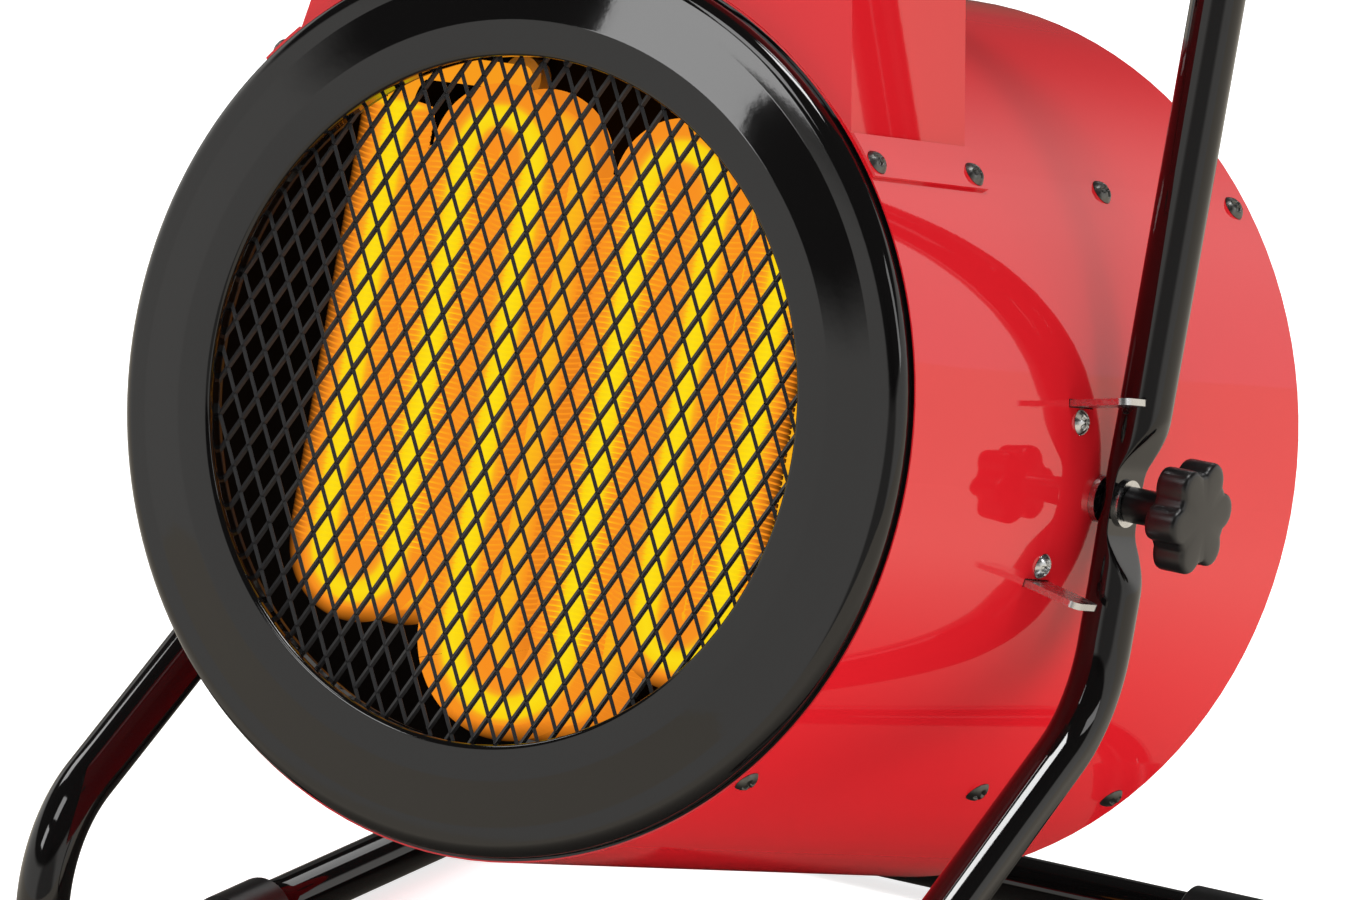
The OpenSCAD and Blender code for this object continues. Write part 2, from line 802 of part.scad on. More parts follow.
module terminal_block() {
  deck = drum_r + 1;
  color("ivory") in_drum() difference() {
    translate([-block_w / 2, control_y + switch_w / 2 + 1, drum_r * 0.9])
      cube([block_w, block_d, deck + block_h - drum_r * 0.9]);
    on_axis(front_y, rear_y, drum_r + seat);
    for (i = [0 : block_ways - 1])
      translate([(i + 0.5 - block_ways / 2) * block_w / block_ways,
        control_y + switch_w / 2 + 1 + block_d / 2, deck + 4])
        cylinder(r = 2.6, h = block_h);
  }
}

module cable_gland() {
  color("black") in_drum() translate([gland_x, 0, gland_z]) difference() {
    union() {
      on_axis(box_rear - box_wall - 8, box_rear + 4, gland_r - 2);
      translate([0, box_rear, 0]) about_axis() cylinder(r = gland_r + 3, h = 5, $fn = 6);
      translate([0, box_rear - box_wall - 4, 0]) about_axis() cylinder(r = gland_r + 2, h = 4, $fn = 6);
      translate([0, box_rear + 5, 0]) about_axis() cylinder(r1 = gland_r + 1.5, r2 = gland_r - 1.5, h = 10);
    }
    on_axis(box_rear - 30, box_rear + 30, 3.5);
  }
}

// Flat tab with two rounded corners, standing out through the drum's wall
module stop_tab() {
  root = fit_r - plate_t / 2;
  tip = drum_r + tab_reach;
  translate([root, 0, -tab_t / 2]) {
    cube([tip - tab_round - root, tab_len, tab_t]);
    translate([0, tab_round, 0]) cube([tip - root, tab_len - 2 * tab_round, tab_t]);
    for (y = [tab_round, tab_len - tab_round])
      translate([tip - tab_round - root, y, 0]) cylinder(r = tab_round, h = tab_t);
  }
}

// Curved plate behind the drum wall with two tabs out through slots and a nut for the stud
module pivot_bracket() {
  difference() {
    union() {
      ring_sector(fit_r - plate_t, fit_r, plate_front, plate_rear, -plate_deg, plate_deg);
      for (side = [-1, 1]) radial(side * tab_angle, tab_front(side)) stop_tab();
      translate([fit_r - plate_t - weld_nut, 0, 0]) rotate([0, 90, 0])
        cylinder(r = stud_r + weld_wall, h = weld_nut + weld_sink, $fn = 6);
    }
    rotate([0, 90, 0]) cylinder(r = stud_r + run_fit, h = drum_r + 5);
    for (side = [-1, 1]) screw_hole(side * bracket_deg, bracket_y(side), fit_r - hole_back);
  }
}

module right_pivot_bracket() {
  color("silver") in_drum() pivot_bracket();
}

module left_pivot_bracket() {
  color("silver") in_drum() mirror([1, 0, 0]) pivot_bracket();
}

module bracket_screws() {
  color("silver") in_drum() both_sides() for (side = [-1, 1])
    radial(side * bracket_deg, bracket_y(side)) dome_screw(drum_r + seat, drum_wall + plate_t + 3);
}

module star(r, h) {
  lobe = r * 0.28;
  linear_extrude(h) union() {
    circle(r = r * 0.74);
    for (i = [0 : lobes - 1]) rotate(360 / lobes * i) translate([r - lobe, 0]) circle(r = lobe);
  }
}

// Star knob and its stud, drawn along x outside the washer
module clamp_knob() {
  hub_x = flat_out + washer_t + seat;
  rotate([0, 90, 0]) {
    translate([0, 0, fit_r - plate_t - weld_nut - stud_over])
      cylinder(r = stud_r, h = hub_x - fit_r + plate_t + weld_nut + stud_over + stud_in);
    translate([0, 0, hub_x]) cylinder(r = hub_r, h = hub_len + 1);
    translate([0, 0, hub_x + hub_len]) star(knob_r, knob_t);
    translate([0, 0, hub_x + hub_len + knob_t]) cylinder(r1 = knob_r * 0.74, r2 = knob_r * 0.66, h = 0.8);
  }
}

module right_knob() {
  color("black") in_drum() clamp_knob();
}

module left_knob() {
  color("black") in_drum() mirror([1, 0, 0]) clamp_knob();
}

// Flat ring about the tilt axis between two places along x
module pivot_ring(x0, x1, r) {
  translate([x0, pivot_y, pivot_z]) rotate([0, 90, 0]) difference() {
    cylinder(r = r, h = x1 - x0);
    translate([0, 0, -1]) cylinder(r = stud_r + hole_gap, h = x1 - x0 + 2);
  }
}

module outer_washers() {
  color("silver") both_sides() pivot_ring(flat_out, flat_out + washer_t, washer_r);
}

module pivot_spacers() {
  color("silver") both_sides() pivot_ring(drum_r + seat, flat_in, washer_r);
}

// Point on the right-hand side tube at a distance up it from the tilt axis
function side_at(up) = [tube_x, pivot_y + up * sin(side_back), pivot_z + up * cos(side_back)];

// Places a piece that is drawn round the tilt axis, z up along the side tubes
module in_upright() {
  translate([0, pivot_y, pivot_z]) rotate([-side_back, 0, 0]) children();
}

// Room taken out of the tube's outer half by the pressed flat and its two slopes, with the stud's hole
module pinch() {
  outer = tube_x + tube_r;
  slope = (press_h - flat_h) / (outer - flat_out);
  across(-2 * tube_r, 2 * tube_r) polygon([[flat_out, -flat_h], [outer + 2, -press_h - 2 * slope],
    [outer + 2, press_h + 2 * slope], [flat_out, flat_h]]);
  rotate([0, 90, 0]) cylinder(r = stud_r + hole_gap, h = 2 * tube_x);
}

// One side of the stand, from the floor joint to the handle's bend
module stand_side() {
  joint = [tube_x, collar_y, floor_z];
  toe = [tube_x, leg_y, floor_z];
  knee = side_at(-knee_drop);
  shin = [tube_x, leg_y, knee.z - (knee.y - leg_y) * tan(leg_slope)];
  shoulder = side_at(handle_up);
  middle = [0, shoulder.y, shoulder.z];
  rod(joint - [0, lap + seat, 0], bend_end(shin, toe, joint, bend_floor), tube_r);
  elbow(joint, toe, shin, bend_floor, tube_r);
  rod(bend_end(joint, toe, shin, bend_floor), bend_start(toe, shin, knee, bend_shin), tube_r);
  elbow(toe, shin, knee, bend_shin, tube_r);
  rod(bend_end(toe, shin, knee, bend_shin), bend_start(shin, knee, shoulder, bend_knee), tube_r);
  elbow(shin, knee, shoulder, bend_knee, tube_r);
  difference() {
    rod(bend_end(shin, knee, shoulder, bend_knee), bend_start(knee, shoulder, middle, bend_handle), tube_r);
    in_upright() pinch();
  }
  elbow(knee, shoulder, middle, bend_handle, tube_r);
}

module stand_frame() {
  shoulder = side_at(handle_up);
  grip = shoulder - [bend_handle, 0, 0];
  color("black") {
    both_sides() stand_side();
    rod([-grip.x, grip.y, grip.z], grip, tube_r);
  }
}

module rear_loop() {
  joint = [tube_x, collar_y, floor_z];
  corner = [tube_x, bar_y, floor_z];
  middle = [0, bar_y, floor_z];
  start = bend_end(joint, corner, middle, bend_rear);
  color("black") {
    rod([-start.x, start.y, start.z], start, tube_r);
    both_sides() {
      rod(joint + [0, lap + seat, 0], bend_start(joint, corner, middle, bend_rear), tube_r);
      elbow(joint, corner, middle, bend_rear, tube_r);
    }
  }
}

// Sleeve pushed over a floor tube, centred at a point, with softened ends and a flat sole
module sleeve(centre, along) {
  ease = 1;
  half = sleeve_len / 2;
  difference() {
    translate(centre) rotate(along) rotate_extrude() polygon([[tube_r + seat, -half],
      [sleeve_r - ease, -half], [sleeve_r, -half + ease], [sleeve_r, half - ease],
      [sleeve_r - ease, half], [tube_r + seat, half]]);
    translate([centre.x - sleeve_len, centre.y - sleeve_len, -10]) cube([2 * sleeve_len, 2 * sleeve_len, 10]);
  }
}

module joint_collars() {
  color("black") both_sides() sleeve([tube_x, collar_y, floor_z], [90, 0, 0]);
}

module front_feet() {
  color("black") both_sides() sleeve([tube_x, front_foot_y, floor_z], [90, 0, 0]);
}

module rear_feet() {
  color("black") both_sides() sleeve([rear_foot_x, bar_y, floor_z], [0, 90, 0]);
}

module drum_screws() {
  shank = drum_wall + 5;
  color("black") in_drum() both_sides() {
    radial(-low_angle, ring_screw_y) dome_screw(drum_r + seat, shank);
    for (angle = [-low_angle, top_angle], y = [bracket_screw_y, guard_screw_y])
      radial(angle, y) dome_screw(drum_r + seat, shank);
  }
}

module box_screws() {
  color("black") in_drum() both_sides() for (y = [ring_screw_y, box_screw_y])
    radial(top_angle, y) dome_screw(drum_r + 2 * seat + box_wall, drum_wall + box_wall + 5);
}

drum_shell();
front_ring();
mesh_grille();
mesh_clamp_ring();
mesh_rivets();
heat_shield();
front_element();
rear_element();
element_support();
element_bushes();
thermal_cutout();
motor_bracket();
fan_motor();
motor_shaft();
fan_blades();
fan_nut();
rear_guard();
control_box();
control_panel();
selector_switch();
thermostat();
selector_knob();
thermostat_knob();
pilot_lamp();
terminal_block();
cable_gland();
left_pivot_bracket();
right_pivot_bracket();
bracket_screws();
left_knob();
right_knob();
outer_washers();
pivot_spacers();
stand_frame();
rear_loop();
joint_collars();
front_feet();
rear_feet();
drum_screws();
box_screws();
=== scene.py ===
import json
import math

import bpy
from mathutils import Matrix, Vector


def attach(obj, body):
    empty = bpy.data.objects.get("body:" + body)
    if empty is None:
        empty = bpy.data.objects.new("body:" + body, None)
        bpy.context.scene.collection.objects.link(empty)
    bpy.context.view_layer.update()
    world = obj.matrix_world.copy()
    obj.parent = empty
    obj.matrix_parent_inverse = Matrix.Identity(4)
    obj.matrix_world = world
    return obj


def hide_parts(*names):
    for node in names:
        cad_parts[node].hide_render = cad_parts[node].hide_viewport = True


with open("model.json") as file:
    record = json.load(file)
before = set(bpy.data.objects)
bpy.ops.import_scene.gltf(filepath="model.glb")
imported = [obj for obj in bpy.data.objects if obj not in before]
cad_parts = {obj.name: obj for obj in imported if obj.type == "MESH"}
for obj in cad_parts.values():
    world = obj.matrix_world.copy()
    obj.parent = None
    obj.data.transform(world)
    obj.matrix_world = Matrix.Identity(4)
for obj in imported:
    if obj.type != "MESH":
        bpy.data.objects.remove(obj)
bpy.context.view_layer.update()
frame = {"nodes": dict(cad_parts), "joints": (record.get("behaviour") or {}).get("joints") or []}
nodes = frame["nodes"]
joints = {joint["name"]: joint for joint in frame["joints"]}
mm = 0.001
xAxis, yAxis, zAxis = Vector((1, 0, 0)), Vector((0, 1, 0)), Vector((0, 0, 1))

# the drum's own space: x right, y back along its axis, z drum-up, origin on the tilt axis
pivot = Vector(joints["drum_tilt"]["pos_m"])
drumBack = Vector(joints["fan_spin"]["axis"]).normalized()
drumUp = xAxis.cross(drumBack)
drumSpace = Matrix((xAxis, drumBack, drumUp)).transposed().to_4x4()
drumSpace.translation = pivot
drumFront = -115 * mm   # place of the drum's front edge along its axis
print("frame loaded")


def linear(hexColour):
    channels = [int(hexColour[i:i + 2], 16) / 255 for i in (1, 3, 5)]
    return tuple(c / 12.92 if c <= 0.04045 else ((c + 0.055) / 1.055) ** 2.4 for c in channels) + (1.0,)


def addNode(tree, kind, inputs=None, links=None, **settings):
    node = tree.nodes.new(kind)
    for key, value in settings.items():
        setattr(node, key, value)
    for key, value in (inputs or {}).items():
        node.inputs[key].default_value = value
    for key, source in (links or {}).items():
        tree.links.new(source, node.inputs[key])
    return node


def newMaterial(name):
    material = bpy.data.materials.new(name)
    material.use_nodes = True
    material.node_tree.nodes.clear()
    return material, material.node_tree


def fromMm(size):
    return 1000.0 / size   # noise scale whose features are about this many millimetres


def addPiece(name, points, faces, material, body, replaced=(), space=None, flat=False):
    mesh = bpy.data.meshes.new(name)
    mesh.from_pydata([tuple(p) for p in points], [], faces)
    if space is not None:
        mesh.transform(space)
    mesh.materials.append(material)
    if not flat:
        mesh.shade_smooth()
    piece = bpy.data.objects.new(name, mesh)
    bpy.context.scene.collection.objects.link(piece)
    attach(piece, body)
    if replaced:
        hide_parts(*replaced)
    return piece


def aroundCircle(count):
    return [2 * math.pi * k / count for k in range(count)]


def clamped(value):
    return max(0.0, min(1.0, value))


def softLeast(a, b, size):
    # the lesser of two values, with a rounded corner where they meet
    lowest = min(a, b)
    return lowest - size * math.log(math.exp((lowest - a) / size) + math.exp((lowest - b) / size))


def joinRings(rings):
    # a skin over rings of points, closed at both ends
    count = len(rings[0])
    points = [p for ring in rings for p in ring]
    faces = []
    for i in range(len(rings) - 1):
        a, b = i * count, (i + 1) * count
        faces += [(a + k, a + (k + 1) % count, b + (k + 1) % count, b + k) for k in range(count)]
    faces.append(tuple(reversed(range(count))))
    faces.append(tuple(range((len(rings) - 1) * count, len(rings) * count)))
    return points, faces


def addMeshes(parts):
    points, faces = [], []
    for morePoints, moreFaces in parts:
        first = len(points)
        points += morePoints
        faces += [tuple(first + k for k in face) for face in moreFaces]
    return points, faces


def roundCorners(corners, bends, step, stride):
    # places and directions along a bent line: arcs at the corners, straight runs between them
    path = []
    here = corners[0]
    for i in range(1, len(corners)):
        ahead = (corners[i] - corners[i - 1]).normalized()
        bend = bends[i - 1] if i < len(corners) - 1 else 0
        arc = []
        stop = corners[i]
        if bend:
            after = (corners[i + 1] - corners[i]).normalized()
            angle = ahead.angle(after)
            setback = bend * math.tan(angle / 2)
            stop = corners[i] - ahead * setback
            inward = (after - ahead * math.cos(angle)).normalized()
            count = max(3, int(bend * angle / step))
            for k in range(count + 1):
                a = angle * k / count
                place = stop + inward * bend * (1 - math.cos(a)) + ahead * bend * math.sin(a)
                arc.append((place, ahead * math.cos(a) + inward * math.sin(a)))
        run = (stop - here).length
        count = max(1, int(run / stride))
        path += [(here.lerp(stop, k / count), ahead) for k in range(count + (0 if arc else 1))]
        path += arc
        here = arc[-1][0] if arc else stop
        if arc:
            path.pop()
    return path


def sweepTube(path, across, sides, section):
    # rings along the path, the crossways direction carried on without twist
    rings = []
    for place, ahead in path:
        across = (across - ahead * across.dot(ahead)).normalized()
        other = ahead.cross(across)
        ring = []
        for angle in aroundCircle(sides):
            u, v = section(place, math.cos(angle), math.sin(angle))
            ring.append(place + across * u + other * v)
        rings.append(ring)
    return joinRings(rings)


def revolve(profile, centre, axis, sides):
    # a closed profile of (radius, place along the axis) turned about the axis
    first = axis.orthogonal().normalized()
    second = axis.cross(first)
    points, faces = [], []
    for angle in aroundCircle(sides):
        out = first * math.cos(angle) + second * math.sin(angle)
        points += [centre + axis * along + out * radius for radius, along in profile]
    count = len(profile)
    for i in range(sides):
        a, b = i * count, (i + 1) % sides * count
        faces += [(a + k, b + k, b + (k + 1) % count, a + (k + 1) % count) for k in range(count)]
    return points, faces


# bars: two square ends of four corners each, and the faces that close them
squareCorners = ((-1, -1), (1, -1), (1, 1), (-1, 1))
barFaces = [(3, 2, 1, 0), (4, 5, 6, 7)] + [(k, (k + 1) % 4, 4 + (k + 1) % 4, 4 + k) for k in range(4)]

# cloudy patches in mm, the height of the finest bumps, and how far roughness strays from its mean
surface = {"paintCloud": 90, "grainCloud": 25, "bumpHeight": 0.1 * mm, "grainStrength": 0.08,
           "paintHaze": (0.7, 1.3), "steelSheen": (0.7, 1.4), "grainSheen": (0.85, 1.15)}


def outsideBore(tree, coords, bore):
    # 1 on the drum's outer wall and its rear edge, 0 within the bore, where black stands in as painted
    # shade
    fromAxis = addNode(tree, "ShaderNodeVectorMath", {1: pivot}, {0: coords},
                       operation="SUBTRACT").outputs[0]
    across = addNode(tree, "ShaderNodeVectorMath", {1: drumBack}, {0: fromAxis}, operation="CROSS_PRODUCT")
    radius = addNode(tree, "ShaderNodeVectorMath", links={0: across.outputs[0]}, operation="LENGTH")
    along = addNode(tree, "ShaderNodeVectorMath", {1: drumBack}, {0: fromAxis}, operation="DOT_PRODUCT")
    outside = addNode(tree, "ShaderNodeMath", {1: bore["radius"]}, {0: radius.outputs["Value"]},
                      operation="GREATER_THAN")
    atRear = addNode(tree, "ShaderNodeMath", {1: bore["end"]}, {0: along.outputs["Value"]},
                     operation="GREATER_THAN")
    return addNode(tree, "ShaderNodeMath", links={0: outside.outputs[0], 1: atRear.outputs[0]},
                   operation="MAXIMUM").outputs[0]


def powderCoat(name, hexColour, shade, gloss, peel, coat=1.0, bore=None):
    # sprayed and baked: even colour under a clear skin with a faint orange peel
    material, tree = newMaterial(name)
    coords = addNode(tree, "ShaderNodeTexCoord").outputs["Object"]
    cloud = addNode(tree, "ShaderNodeTexNoise", {"Scale": fromMm(surface["paintCloud"]), "Detail": 3.0},
                    {"Vector": coords}).outputs["Fac"]
    tone = addNode(tree, "ShaderNodeMixRGB", {"Color1": linear(hexColour), "Color2": linear(shade)},
                   {"Fac": cloud}).outputs["Color"]
    # painted shade: the bore turns black in place of the red coat
    if bore:
        tone = addNode(tree, "ShaderNodeMixRGB", {"Color1": linear(bore["colour"])},
                       {"Fac": outsideBore(tree, coords, bore), "Color2": tone}).outputs["Color"]
    ripple = addNode(tree, "ShaderNodeTexNoise", {"Scale": fromMm(peel["size"]), "Detail": 2.0},
                     {"Vector": coords}).outputs["Fac"]
    bump = addNode(tree, "ShaderNodeBump",
                   {"Strength": peel["strength"], "Distance": surface["bumpHeight"]},
                   {"Height": ripple}).outputs["Normal"]
    least, most = surface["paintHaze"]
    haze = addNode(tree, "ShaderNodeMapRange", {"To Min": gloss * least, "To Max": gloss * most},
                   {"Value": cloud}).outputs["Result"]
    shader = addNode(tree, "ShaderNodeBsdfPrincipled",
                     {"Roughness": 0.6, "Specular IOR Level": 0.0, "Coat Weight": coat, "Coat IOR": 1.5},
                     {"Base Color": tone, "Coat Roughness": haze, "Coat Normal": bump})
    addNode(tree, "ShaderNodeOutputMaterial", links={"Surface": shader.outputs["BSDF"]})
    return material


def finishedSteel(name, hexColour, shade, roughness, crystal):
    # plated, blacked or ground: metal whose sheen is cloudy, its crystals drawn coarse enough to show
    material, tree = newMaterial(name)
    coords = addNode(tree, "ShaderNodeTexCoord").outputs["Object"]
    flake = addNode(tree, "ShaderNodeTexVoronoi", {"Scale": fromMm(crystal)}, {"Vector": coords})
    cloud = addNode(tree, "ShaderNodeTexNoise", {"Scale": fromMm(crystal * 2), "Detail": 4.0},
                    {"Vector": coords})
    tone = addNode(tree, "ShaderNodeMixRGB", {"Color1": linear(hexColour), "Color2": linear(shade)},
                   {"Fac": cloud.outputs["Fac"]})
    least, most = surface["steelSheen"]
    rough = addNode(tree, "ShaderNodeMapRange", {"To Min": roughness * least, "To Max": roughness * most},
                    {"Value": flake.outputs["Distance"]})
    shader = addNode(tree, "ShaderNodeBsdfPrincipled", {"Metallic": 1.0},
                     {"Base Color": tone.outputs["Color"], "Roughness": rough.outputs["Result"]})
    addNode(tree, "ShaderNodeOutputMaterial", links={"Surface": shader.outputs["BSDF"]})
    return material


def grainedBody(name, hexColour, shade, roughness, grain):
    # moulded, fired or printed: one colour with a fine grain, drawn coarse enough to show
    material, tree = newMaterial(name)
    coords = addNode(tree, "ShaderNodeTexCoord").outputs["Object"]
    cloud = addNode(tree, "ShaderNodeTexNoise", {"Scale": fromMm(surface["grainCloud"]), "Detail": 3.0},
                    {"Vector": coords})
    tone = addNode(tree, "ShaderNodeMixRGB", {"Color1": linear(hexColour), "Color2": linear(shade)},
                   {"Fac": cloud.outputs["Fac"]})
    pits = addNode(tree, "ShaderNodeTexNoise", {"Scale": fromMm(grain), "Detail": 2.0},
                   {"Vector": coords}).outputs["Fac"]
    bump = addNode(tree, "ShaderNodeBump",
                   {"Strength": surface["grainStrength"], "Distance": surface["bumpHeight"]},
                   {"Height": pits})
    least, most = surface["grainSheen"]
    rough = addNode(tree, "ShaderNodeMapRange", {"To Min": roughness * least, "To Max": roughness * most},
                    {"Value": pits})
    shader = addNode(tree, "ShaderNodeBsdfPrincipled", {"IOR": 1.5},
                     {"Base Color": tone.outputs["Color"], "Roughness": rough.outputs["Result"],
                      "Normal": bump.outputs["Normal"]})
    addNode(tree, "ShaderNodeOutputMaterial", links={"Surface": shader.outputs["BSDF"]})
    return material


# colours along the glow scale, from the deepest painted shade on a fin to the sheath at full heat
glow = {"stops": ((0.0, "#140902"), (0.25, "#e7821d"), (0.3, "#f68f1f"), (0.62, "#f7a81d"),
                  (0.9, "#f9d30f"), (1.0, "#fbdc14")), "strength": 1.0, "oxide": "#2a1508"}


def glowingSteel():
    # sheathed element at full heat: yellow along the tube and in a painted highlight on each fin's side
    # towards the camera, orange on the fins, brown in painted shade at their outer edges
    material, tree = newMaterial("Glowing element steel")
    heatAndPaintedGlow = addNode(tree, "ShaderNodeAttribute", attribute_name="heatAndPaintedGlow").outputs["Fac"]
    ramp = addNode(tree, "ShaderNodeValToRGB", links={"Fac": heatAndPaintedGlow})
    stops = ramp.color_ramp.elements
    stops[0].color, stops[1].color = linear(glow["stops"][0][1]), linear(glow["stops"][-1][1])
    for place, hexColour in glow["stops"][1:-1]:
        stops.new(place).color = linear(hexColour)
    shader = addNode(tree, "ShaderNodeBsdfPrincipled",
                     {"Roughness": 0.8, "Specular IOR Level": 0.1, "Emission Strength": glow["strength"],
                      "Base Color": linear(glow["oxide"])},
                     {"Emission Color": ramp.outputs["Color"]})
    addNode(tree, "ShaderNodeOutputMaterial", links={"Surface": shader.outputs["BSDF"]})
    return material


# each finish: its colour, the colour of its patches, its roughness and the size of its texture in mm
# red gloss: a deep even red that mirrors the room in clear bands
redCoat = ("#e2222b", "#dd1e27", 0.035, {"size": 3.0, "strength": 0.03})
redPaint = powderCoat("Red polyester powder coat", *redCoat)
# the drum's coat: the same red, and black painted shade in the bore, in which only the glow shows
drumPaint = powderCoat("Red polyester powder coat, painted shade inside", *redCoat,
                       bore={"radius": 137.0 * mm, "end": 119.3 * mm, "colour": "#060606"})
# black gloss: sharp pale streaks on black
blackPaint = powderCoat("Black gloss powder coat", "#0b0a0a", "#0e0d0d", 0.05,
                        {"size": 3.0, "strength": 0.06})
# satin on the mesh: charcoal strands that stay readable against the glow
meshPaint = powderCoat("Black satin coat on mesh", "#2a2a2b", "#303031", 0.3,
                       {"size": 0.8, "strength": 0.1})
# lining, element support and motor bracket inside the drum: dead black painted shade, with hardly any sheen
insideShadePaint = powderCoat("Black painted shade inside the drum", "#040404", "#060606", 0.6,
                         {"size": 0.8, "strength": 0.12}, 0.2)
# enamels at the rear: dull grey on the motor, and dull black on the fan as painted shade inside the drum
motorPaint = powderCoat("Grey motor enamel", "#5b6064", "#53585c", 0.35, {"size": 1.2, "strength": 0.05})
fanShadePaint = powderCoat("Black fan, painted shade", "#1b1c1d", "#222324", 0.45, {"size": 1.2, "strength": 0.05})
# zinc: silvery with soft highlights
zincPlate = finishedSteel("Bright zinc plate", "#d7d8d8", "#c3c5c7", 0.24, 1.6)
# oxide: grey-black metal whose edges still catch the light
screwBlack = finishedSteel("Black oxide steel", "#747471", "#575755", 0.36, 0.8)
# ground steel: a bright narrow sheen
groundSteel = finishedSteel("Ground shaft steel", "#c2c4c6", "#aeb0b3", 0.2, 0.6)
# moulded blacks: soft grey sheen on the knobs, rubbery on the sleeves, flat on the panel
knobPlastic = grainedBody("Black ABS, moulded", "#0c0c0d", "#111112", 0.32, 0.35)
sleeveRubber = grainedBody("Black PVC sleeve, moulded", "#0c0c0c", "#121212", 0.34, 0.6)
panelPlastic = grainedBody("Black nylon, moulded", "#141415", "#1a1a1b", 0.45, 0.4)
# steatite: chalky cream
ceramic = grainedBody("Steatite, fired", "#e4dfd2", "#d8d2c4", 0.6, 0.7)
# ink: flat white
whiteInk = grainedBody("White epoxy ink", "#e9e9e6", "#dededa", 0.5, 0.3)
# lens: warm amber with a small sharp highlight
lampLens = grainedBody("Amber polycarbonate, moulded", "#f06a18", "#e25c10", 0.12, 0.8)
hotSteel = glowingSteel()

finishes = {
    "drum_shell": drumPaint, "control_box": redPaint, "front_ring": blackPaint, "stand_frame": blackPaint,
    "rear_loop": blackPaint, "rear_guard": blackPaint, "mesh_grille": meshPaint,
    "mesh_clamp_ring": meshPaint, "mesh_rivets": meshPaint, "heat_shield": insideShadePaint,
    "motor_bracket": insideShadePaint, "element_support": insideShadePaint, "front_element": hotSteel,
    "rear_element": hotSteel, "left_pivot_bracket": zincPlate, "right_pivot_bracket": zincPlate,
    "bracket_screws": zincPlate, "outer_washers": zincPlate, "pivot_spacers": zincPlate,
    "left_knob": knobPlastic, "right_knob": knobPlastic, "selector_knob": knobPlastic,
    "thermostat_knob": knobPlastic, "control_panel": panelPlastic, "cable_gland": panelPlastic,
    "selector_switch": panelPlastic, "thermostat": panelPlastic, "thermal_cutout": panelPlastic,
    "joint_collars": sleeveRubber, "front_feet": sleeveRubber, "rear_feet": sleeveRubber,
    "element_bushes": ceramic, "terminal_block": ceramic, "fan_motor": motorPaint, "fan_blades": fanShadePaint,
    "motor_shaft": groundSteel, "fan_nut": groundSteel, "drum_screws": screwBlack, "box_screws": screwBlack,
    "pilot_lamp": lampLens,
}
for name, node in nodes.items():
    node.data.materials.clear()
    node.data.materials.append(finishes[name])
print("materials made")


# expanded mesh: slit and drawn sheet, so each strand stands at an angle to the sheet
meshGrille = {"diamondWide": 8.0 * mm, "diamondTall": 14.4 * mm, "strand": 1.15 * mm, "thick": 1.2 * mm,
              "lean": math.radians(28), "overlap": 0.35 * mm, "plane": -4.8 * mm, "radius": 107 * mm,
              "pastRadius": 1.44 * mm}


def strandEnds():
    half = Vector((meshGrille["diamondWide"] / 2, 0, meshGrille["diamondTall"] / 2))
    reach = meshGrille["radius"]
    columns, rows = int(reach / half.x) + 2, int(reach / half.z) + 2
    ends = []
    for row in range(-rows, rows):
        for column in range(-columns, columns + 1):
            if (row + column) % 2:
                continue
            low = Vector((column * half.x, 0, row * half.z))
            for side in (-1, 1):
                high = low + Vector((side * half.x, 0, half.z))
                if max(low.length, high.length) <= reach + meshGrille["pastRadius"]:
                    ends.append((low, high, side))
    return ends


def strandBar(low, high, side):
    size = meshGrille
    toFront = -yAxis
    along = (high - low).normalized()
    wide = along.cross(toFront) * math.cos(size["lean"]) + toFront * math.sin(size["lean"]) * side
    deep = along.cross(wide)
    sheet = yAxis * (drumFront + size["plane"] + size["thick"] / 2)
    corners = [wide * a * size["strand"] / 2 + deep * b * size["thick"] / 2 for a, b in squareCorners]
    points = [end + along * past + corner + sheet
              for end, past in ((low, -size["overlap"]), (high, size["overlap"])) for corner in corners]
    return points, barFaces


def makeMesh():
    points, faces = addMeshes([strandBar(*ends) for ends in strandEnds()])
    addPiece("expandedMesh", points, faces, meshPaint, "drum", ["mesh_grille"],
             drumSpace, True)


makeMesh()
print("mesh made")


# heating elements: one bent sheath with a fin strip wound round it, so each turn leans
element = {"tube": 4.0 * mm, "fin": 11.0 * mm, "pitch": 1.7 * mm, "finThick": 1.0 * mm, "lean": 1.5 * mm,
           "sides": 24, "bendRoom": 2.5 * mm, "bareSteps": 10, "endBend": 12 * mm, "ends": 110 * mm,
           "legs": [x * mm for x in (-71, -45, -20, 20, 45, 71)],
           "bends": [z * mm for z in (-53, 69.5, -71, 69.5, -53)],
           "towardCamera": Vector((0.5, -0.866, 0)), "cameraBand": (0.86, 0.985), "paintedFadeFrom": 0.45,
           "tailWarmth": 0.45}
# depths and ends are behind the drum's front edge, glow levels are on the sheath and on the fins, and the
# other entries set the way of a fin's painted highlight, which faces the camera, and how far round a fin it
# and the painted shade reach
elementPlaces = {"front_element": {"depth": 20 * mm, "endHeight": 92 * mm, "heatAndPaintedGlow": (1.0, 0.3)},
                 "rear_element": {"depth": 46 * mm, "endHeight": 70 * mm, "heatAndPaintedGlow": (0.7, 0.25)}}


def straight(start, stop, finned=True):
    run = stop - start
    return {"start": start, "ahead": run.normalized(), "length": run.length, "radius": 0, "finned": finned}


def curved(centre, out, turn, radius, angle, finned=True):
    return {"centre": centre, "out": out, "turn": turn, "radius": radius, "length": radius * angle,
            "finned": finned}


